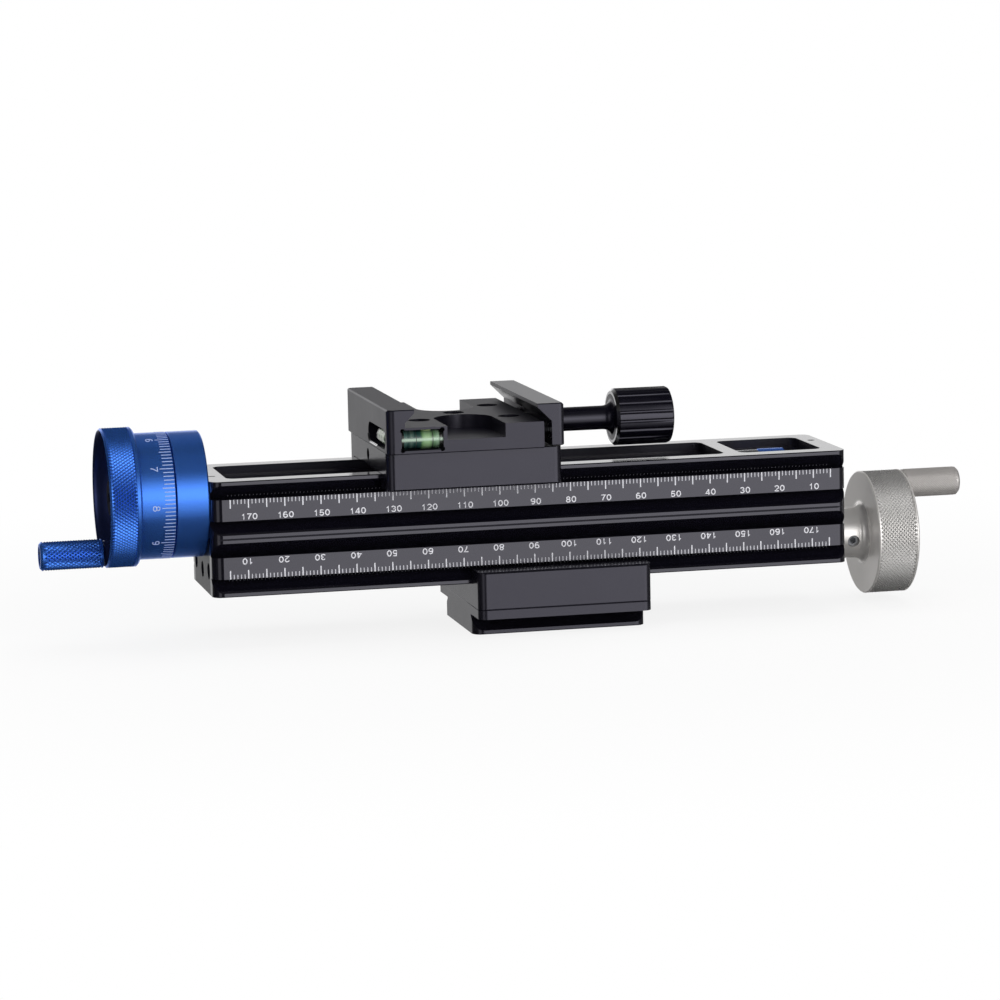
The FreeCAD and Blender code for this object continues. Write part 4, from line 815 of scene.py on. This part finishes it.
# %% Number the strips
strip_numbers = []
for value in range(10, 171, 10):
    flat, faces = digits(str(value), 1.86, 0.28)
    placed = [SCALE_END - value + 0.1, FRONT, STRIP_TOP - 4.75] + flat[:, [0, 2, 1]] * [1, -1, 1]
    strip_numbers.append((placed, faces))
on_both_decks("scale_numbers", *gather(strip_numbers), laser_white)
INDEX_LOW, INDEX_HIGH = np.array([[-96.4, -7.1, 46.18]]), np.array([[-93.4, -5.9, 46.22]])
make_piece("index_line", *plate_mesh(INDEX_LOW, INDEX_HIGH), printed_black, "rail",
           "black_anodised", False)
print("numbers from 10 to 170 on both strips, and a line on the rail's top beside the collar")

# %% [markdown]
# ## The drum's hundred lines
# The sleeve is divided into a hundred, with a number at every tenth line. The lines start at
# the seam beside the fixed collar. They are the same plates as on the strips, drawn flat as
# (distance, arc) and then bent: a point's arc divided by the radius is its angle.

# %% Divide the drum
ANGLE_OF_8 = np.radians(-4.0)  # the number 8 faces front while the rail is at rest
LINE_GAP, HALF_LINE = 0.2, 0.11


def engrave_drum(name, points, faces):
    """Bends (distance, arc, height over the surface) round the drum's sleeve."""
    bent = round_axis(points[..., 0], DRUM_RADIUS + points[..., 2],
                      points[..., 1] / DRUM_RADIUS, UPPER_AXIS)
    make_piece(name, bent, faces, laser_pale_blue, "upper_screw", "blue_anodised", False)


line = np.arange(100)
arc = DRUM_RADIUS * (ANGLE_OF_8 - (line - 80) * 2 * np.pi / 100)
reach = np.where(line % 10 == 0, 3.7, np.where(line % 5 == 0, 3.3, 2.8))
engrave_drum("drum_lines", *plate_mesh(
    columns_of(seam - LINE_GAP - reach, arc - HALF_LINE, -PROUD),
    columns_of(seam - LINE_GAP, arc + HALF_LINE, PROUD),
))

drum_numbers = []
for value in range(10):
    flat, faces = digits(str(value), 2.2, 0.26)
    middle = DRUM_RADIUS * (ANGLE_OF_8 - (value - 8) * 2 * np.pi / 10)
    drum_numbers.append(([seam - 5.4, middle, 0.0] + flat[:, [1, 0, 2]] * [1, -1, 1], faces))
engrave_drum("drum_numbers", *gather(drum_numbers))
print("100 lines and 10 numbers on the drum")

# %% [markdown]
# ## The clamp's knob
# The knob is turned, then a cutter runs along it 20 times to make its flutes, and last its left
# edge is turned once more, which cuts through the black and leaves a ring of bright metal. The
# grip is the lower of two radii: that of the turned profile, which depends on the distance
# alone, and that of the flutes, which depends on the angle alone.

# %% Flute the knob
KNOB_RADIUS, NECK_RADIUS, GRIP_START, BELL = 8.0, 3.35, 20.4, 2.6
FLUTES, FLUTE_DEPTH, HALF_FLUTE = 20, 0.3, 0.19  # a flute is 0.38 of its pitch wide
knob_low, knob_high = box_of("clamp_knob")
knob_axis = (knob_low[2] + knob_high[2]) / 2
knob_angle = angles(FLUTES * 14)

# the grip's radius less a round groove at each flute
cell = knob_angle / (2 * np.pi) * FLUTES + 0.2
cell = cell - np.round(cell)
grip = KNOB_RADIUS - FLUTE_DEPTH * np.sqrt(np.clip(1 - (cell / HALF_FLUTE) ** 2, 0, None))

# the turned profile: a neck that opens like a bell into the grip
turn = np.linspace(0, np.pi / 2, 8)
neck = knob_low[0]
grip_left, grip_right = neck + GRIP_START, knob_high[0]
distance = np.concatenate([
    [neck, neck, neck + 0.2, neck + 8.0, neck + 16.2], grip_left - BELL + BELL * np.sin(turn),
    [grip_left, grip_left + 0.02, grip_left + 0.8, grip_left + 9.0, grip_right - 1.0],
    [grip_right - 0.3, grip_right, grip_right],
])
radius = np.concatenate([
    [0.0, NECK_RADIUS - 0.2, NECK_RADIUS, NECK_RADIUS, NECK_RADIUS],
    NECK_RADIUS + 2.1 * (1 - np.cos(turn)),
    [7.0, 7.2, KNOB_RADIUS, KNOB_RADIUS, KNOB_RADIUS], [7.7, 7.0, 0.0],
])
points = round_axis(distance[:, None], np.minimum(radius[:, None], grip), knob_angle, knob_axis)
knob_faces = quads(len(distance), len(knob_angle), False, True)
knob = make_piece("fluted_knob", points, knob_faces, turned_black, "clamp_knob",
                  "black_anodised")
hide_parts("clamp_knob")
turned_piece(
    "knob_bare_edge", [(-0.03, 6.5), (-0.01, 7.25), (0.77, 8.04), (0.95, 7.6), (0.4, 6.5)],
    moved(grip_left, 0.0, knob_axis), bare_cut, "clamp_knob", "black_anodised",
    len(knob_angle), True,
)
print("a knob with", FLUTES, "flutes and", len(knob_faces), "faces")

# %% [markdown]
# ## The levels
# A level is an acrylic cylinder with a barrel-shaped hollow, filled with spirit up to a bubble.
# Two rings mark where the bubble belongs, and a black cap closes each end. Each part is a
# profile of (distance, radius) turned round its own axis, and the parts are nested.

# %% Build both levels
BARREL_END, CAP_GAP, CAP_LENGTH = 0.9, 0.1, 0.75


def level_parts(name, node, axis, place, spirit, cap_finish, bubble_at, rings_at):
    """The acrylic body, the spirit, the bubble, the rings and the caps of a level on an axis."""
    size = np.subtract(*box_of(node)[::-1])
    length, radius = size[axis], size[2] / 2
    bore = radius * 0.72

    def part(ending, profile, material, put=place, **more):
        """One turned part of this level."""
        return turned_piece(name + ending, profile, put, material, "upper_carriage", "vial",
                            **more)

    def float_up(points):
        """Lifts the bubble to the top of the barrel and presses it flat."""
        return place(points * np.array([1.0, 1.0, 0.45]) + np.array([0.0, 0.0, bore - 0.12]))

    body = part("", [
        (0.02, 0.0), (0.02, radius - 0.25), (0.25, radius - 0.03), (length - 0.25, radius - 0.03),
        (length - 0.02, radius - 0.25), (length - 0.02, 0.0),
    ], clear_acrylic)
    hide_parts(node)
    share = np.linspace(0, 1, 13)
    barrel = np.column_stack([
        BARREL_END + share * (length - 2 * BARREL_END), bore * (1 - 0.12 * (2 * share - 1) ** 2),
    ])
    part("_spirit", [(BARREL_END, 0.0), *barrel, (length - BARREL_END, 0.0)], spirit)
    swing = np.linspace(0, np.pi, 11)
    bubble = np.column_stack([bubble_at - 1.5 * np.cos(swing), 0.7 * np.sin(swing)])
    part("_bubble", bubble, air_bubble, float_up, columns=20)
    for number, at in enumerate(rings_at, 1):
        part("_ring_%d" % number, [
            (at - 0.1, bore - 0.1), (at - 0.1, bore + 0.06), (at + 0.1, bore + 0.06),
            (at + 0.1, bore - 0.1),
        ], printed_black, ring=True)
    for number, start in enumerate((CAP_GAP, length - CAP_GAP - CAP_LENGTH), 1):
        stop = start + CAP_LENGTH
        part("_cap_%d" % number, [
            (start, 0.0), (start, bore + 0.2), (stop, bore + 0.2), (stop, 0.0),
        ], cap_finish)


front_low, front_high = box_of("front_vial")
side_low, side_high = box_of("side_vial")
front_middle, side_middle = (front_low + front_high) / 2, (side_low + side_high) / 2
# the dark teal stops are painted shade where the black pocket is behind the spirit, and the pale
# greens are painted light round the bubble
front_spirit_painted_light = spirit_along(
    "green_spirit_painted_light", front_low[0] + BARREL_END, front_high[0] - BARREL_END, [
        (0.0, "#4f6e6b"), (1.0, "#6d8c6d"), (0.12, "#1c3b3d"), (0.46, "#244443"),
        (0.54, "#6e9459"), (0.7, "#82a46c"), (0.8, "#698869"),
    ], front_middle[2],
)
# the end caps are dark, with the same painted highlight line along their middle
front_cap_painted_highlight = spirit_along(
    "front_end_cap_painted_highlight", front_low[0], front_high[0], [(0.0, "#161817"), (1.0, "#161817")],
    front_middle[2],
)


def on_side(points):
    """Turned a quarter, so that it runs along Y in the fixed jaw's outer face."""
    swung = points[..., [1, 0, 2]] * [-1, 1, 1]
    return swung + np.array([side_middle[0], side_low[1], side_middle[2]])


# along X, in the window of the clamp's front face
level_parts("front_level", "front_vial", 0, moved(front_low[0], *front_middle[1:]),
            front_spirit_painted_light, front_cap_painted_highlight, 7.2, (4.2, 8.8))
level_parts("side_level", "side_vial", 1, on_side, pale_spirit, cap_plastic, 5.0, (3.5, 6.5))
print("two levels with rings, bubbles and caps")

# %% [markdown]
# The lower edge of the side level's slot was broken with a cutter after the anodising, so it is
# bright. The bead is a thin strip that follows the slot's outline, straight below and then part
# of the way up round the back end, and its small leaning section is the grid's other direction.

# %% Break the slot's edge
SLOT_RADIUS, SLOT_LENGTH = 2.75, 18.35
jaw_face = box_of("clamp_body")[0][0]
climb = np.radians(np.linspace(-90, -15, 9))
outline_y = np.append(side_high[1] - 1.0,
                      side_low[1] + SLOT_LENGTH + SLOT_RADIUS * np.cos(climb))
outline_z = side_middle[2] + SLOT_RADIUS * np.append(-1.0, np.sin(climb))
inward_y = np.append(0.0, -np.cos(climb))
inward_z = np.append(1.0, -np.sin(climb))
edge = [
    columns_of(jaw_face + deep, outline_y + lift * inward_y, outline_z + lift * inward_z)
    for deep, lift in ((-0.02, -0.32), (-0.2, -0.26), (0.2, 0.12), (0.2, -0.02))
]
edge_faces = np.vstack([quads(10, 4, False, True), [[0, 1, 2, 3]], [[39, 38, 37, 36]]])
make_piece("slot_edge", np.stack(edge, 1), edge_faces, bare_cut, "upper_carriage",
           "black_anodised", False)
print("the edge is", round(float(outline_y[-1] - outline_y[0]), 1), "mm long")

# %% [markdown]
# ## The studio
# Metal shows the room, so the room is designed for what it mirrors, and this differs from what
# the camera sees. To the camera the backdrop is plain white. To mirrors it has two bright bands.
# The one in front, strongest just above the horizon and a little to the right, makes the long
# highlight on everything round. The one behind, near the horizon, draws the silver tops of the
# rails. Overhead and to both sides the room is nearly dark, so slopes and corners stay black
# and set the edges off. The floor is white to the camera, whiter with distance until it meets
# the backdrop, and keeps a soft shadow near the object. Mirrors see neither the floor nor the
# three lamps, which only light what is matt. The light on the object stays plain, because only
# the Light Path node makes the background white.

# %% World
FRONT_STRENGTH, PLAIN_LIGHT = 2.25, 0.2  # of the band in front, and for what is matt

world = bpy.data.worlds.new("studio_world")
bpy.context.scene.world = world
world.use_nodes = True
tree = world.node_tree
tree.nodes.clear()
path = add(tree, "LightPath").outputs
towards = add(tree, "SeparateXYZ", Vector=add(tree, "TexCoord").outputs["Generated"]).outputs


def steps(value, low, high, stops):
    """A smooth curve through (value, level) stops, for levels from 0 to 1."""
    share = add(tree, "MapRange", Value=value, From_Min=low, From_Max=high)
    curve = add(tree, "ValToRGB", Fac=share)
    curve.color_ramp.interpolation = "EASE"
    set_stops(curve, [
        ((at - low) / (high - low), (bright, bright, bright, 1.0)) for at, bright in stops
    ])
    return curve


# the bearing is 0 in front and grows to the right
bearing = add(
    tree, "Math", {"operation": "ARCTAN2"}, _0=towards["X"],
    _1=add(tree, "Math", TIMES, _0=towards["Y"], _1=-1.0),
)
around = steps(bearing, -np.pi, np.pi, [
    (-np.pi, 1.0), (np.pi, 1.0), (-2.75, 1.0), (-2.4, 0.1), (-1.5, 0.03), (-1.0, 0.03),
    (-0.8, 0.35), (-0.45, 0.35), (-0.3, 0.03), (0.06, 0.03), (0.14, 1.0), (0.8, 1.0), (1.1, 0.1),
    (2.5, 0.1), (2.8, 1.0),
])
front_heights = steps(towards["Z"], -1, 1, [
    (-1.0, 0.005), (1.0, 0.03), (-0.72, 0.02), (-0.6, 0.06), (-0.46, 0.24), (-0.31, 0.44),
    (-0.15, 0.6), (0.0, 0.97), (0.16, 1.0), (0.31, 0.77), (0.45, 0.44), (0.59, 0.17),
    (0.72, 0.05),
])
back_heights = steps(towards["Z"], -1, 1, [
    (-1.0, 0.01), (1.0, 0.06), (-0.6, 0.15), (-0.3, 1.0), (0.2, 1.0), (0.36, 0.2), (0.6, 0.17),
    (0.95, 0.08),
])
in_front = add(tree, "Math", TIMES, _0=front_heights, _1=FRONT_STRENGTH)
# behind and to the left, the band is half as bright below the horizon
left_share = add(
    tree, "MapRange", SMOOTH, Value=towards["Z"], From_Min=-0.06, From_Max=0.02,
    To_Min=0.5,
)
side_share = add(
    tree, "MapRange", SMOOTH, Value=towards["X"], From_Min=-0.15, From_Max=0.1,
    To_Min=left_share,
)
behind = add(tree, "Math", TIMES, _0=back_heights, _1=side_share)
is_back = add(tree, "MapRange", SMOOTH, Value=towards["Y"], From_Min=-0.3, From_Max=0.1)
height = add(tree, "MapRange", Value=is_back, To_Min=in_front, To_Max=behind)
mirrored = add(tree, "Math", TIMES, _0=around, _1=height)
seen = add(tree, "Math", LARGER, _0=path["Is Camera Ray"], _1=path["Is Transmission Ray"])
plain = add(tree, "MapRange", Value=seen, To_Min=PLAIN_LIGHT)
strength = add(tree, "MapRange", Value=path["Is Glossy Ray"], To_Min=plain, To_Max=mirrored)
sky = add(tree, "Background", Color=(1.0, 1.0, 1.0, 1.0), Strength=strength)
add(tree, "OutputWorld", Surface=sky)
print("the world has", len(tree.nodes), "nodes")

# %% Floor
HALF_FLOOR = 20.0
floor_material, tree, place = new_material("studio_floor")
path = add(tree, "LightPath").outputs
away = add(tree, "VectorMath", {"operation": "LENGTH"}, _0=place).outputs["Value"]
share = add(tree, "MapRange", SMOOTH, Value=away, From_Min=0.1, From_Max=0.3, To_Min=0.86)
share = add(tree, "Math", TIMES, _0=path["Is Camera Ray"], _1=share)
glow_share = add(tree, "Math", LARGER, _0=share, _1=path["Is Transmission Ray"])
matt = add(tree, "BsdfDiffuse", Color=(0.92, 0.92, 0.92, 1.0))
glow = add(tree, "Emission", Color=(1.0, 1.0, 1.0, 1.0), Strength=1.0)
mixed = add(tree, "MixShader", _0=glow_share, _1=matt, _2=glow)
add(tree, "OutputMaterial", Surface=mixed)

floor_mesh = bpy.data.meshes.new("studio_floor")
floor_mesh.from_pydata([
    (HALF_FLOOR * i, HALF_FLOOR * j, 0) for i, j in ((-1, -1), (1, -1), (1, 1), (-1, 1))
], [], [(0, 1, 2, 3)])
floor_mesh.materials.append(floor_material)
floor = bpy.data.objects.new("studio_floor", floor_mesh)
bpy.context.scene.collection.objects.link(floor)
floor.visible_glossy = False
print("a floor of", 2 * HALF_FLOOR, "m")

# %% Lamps


def soft_lamp(name, at, size, power):
    """A square lamp that faces the rail. Neither the camera nor a mirror sees the lamp itself."""
    data = bpy.data.lights.new(name, "AREA")
    data.shape = "RECTANGLE"
    data.size = data.size_y = size
    data.energy = power
    back = at / np.linalg.norm(at)
    side = np.cross([0, 0, 1.0], back)
    side /= np.linalg.norm(side)
    lamp = set_up(name, data, side, np.cross(back, side), back, at)
    lamp.visible_camera = lamp.visible_glossy = False


soft_lamp("front_lamp", (0.5, -1.2, 0.45), 1.2, 10)
soft_lamp("overhead_lamp", (0.1, 0.2, 1.2), 1.2, 8)
soft_lamp("left_lamp", (-0.9, -0.9, 0.8), 0.9, 5)
print("a wide lamp in front and two weaker ones, for what is matt")

# %% [markdown]
# ## Look
# The view transform stays Standard, so a colour renders as it was written.

# %% The view transform
bpy.context.scene.view_settings.view_transform = "Standard"
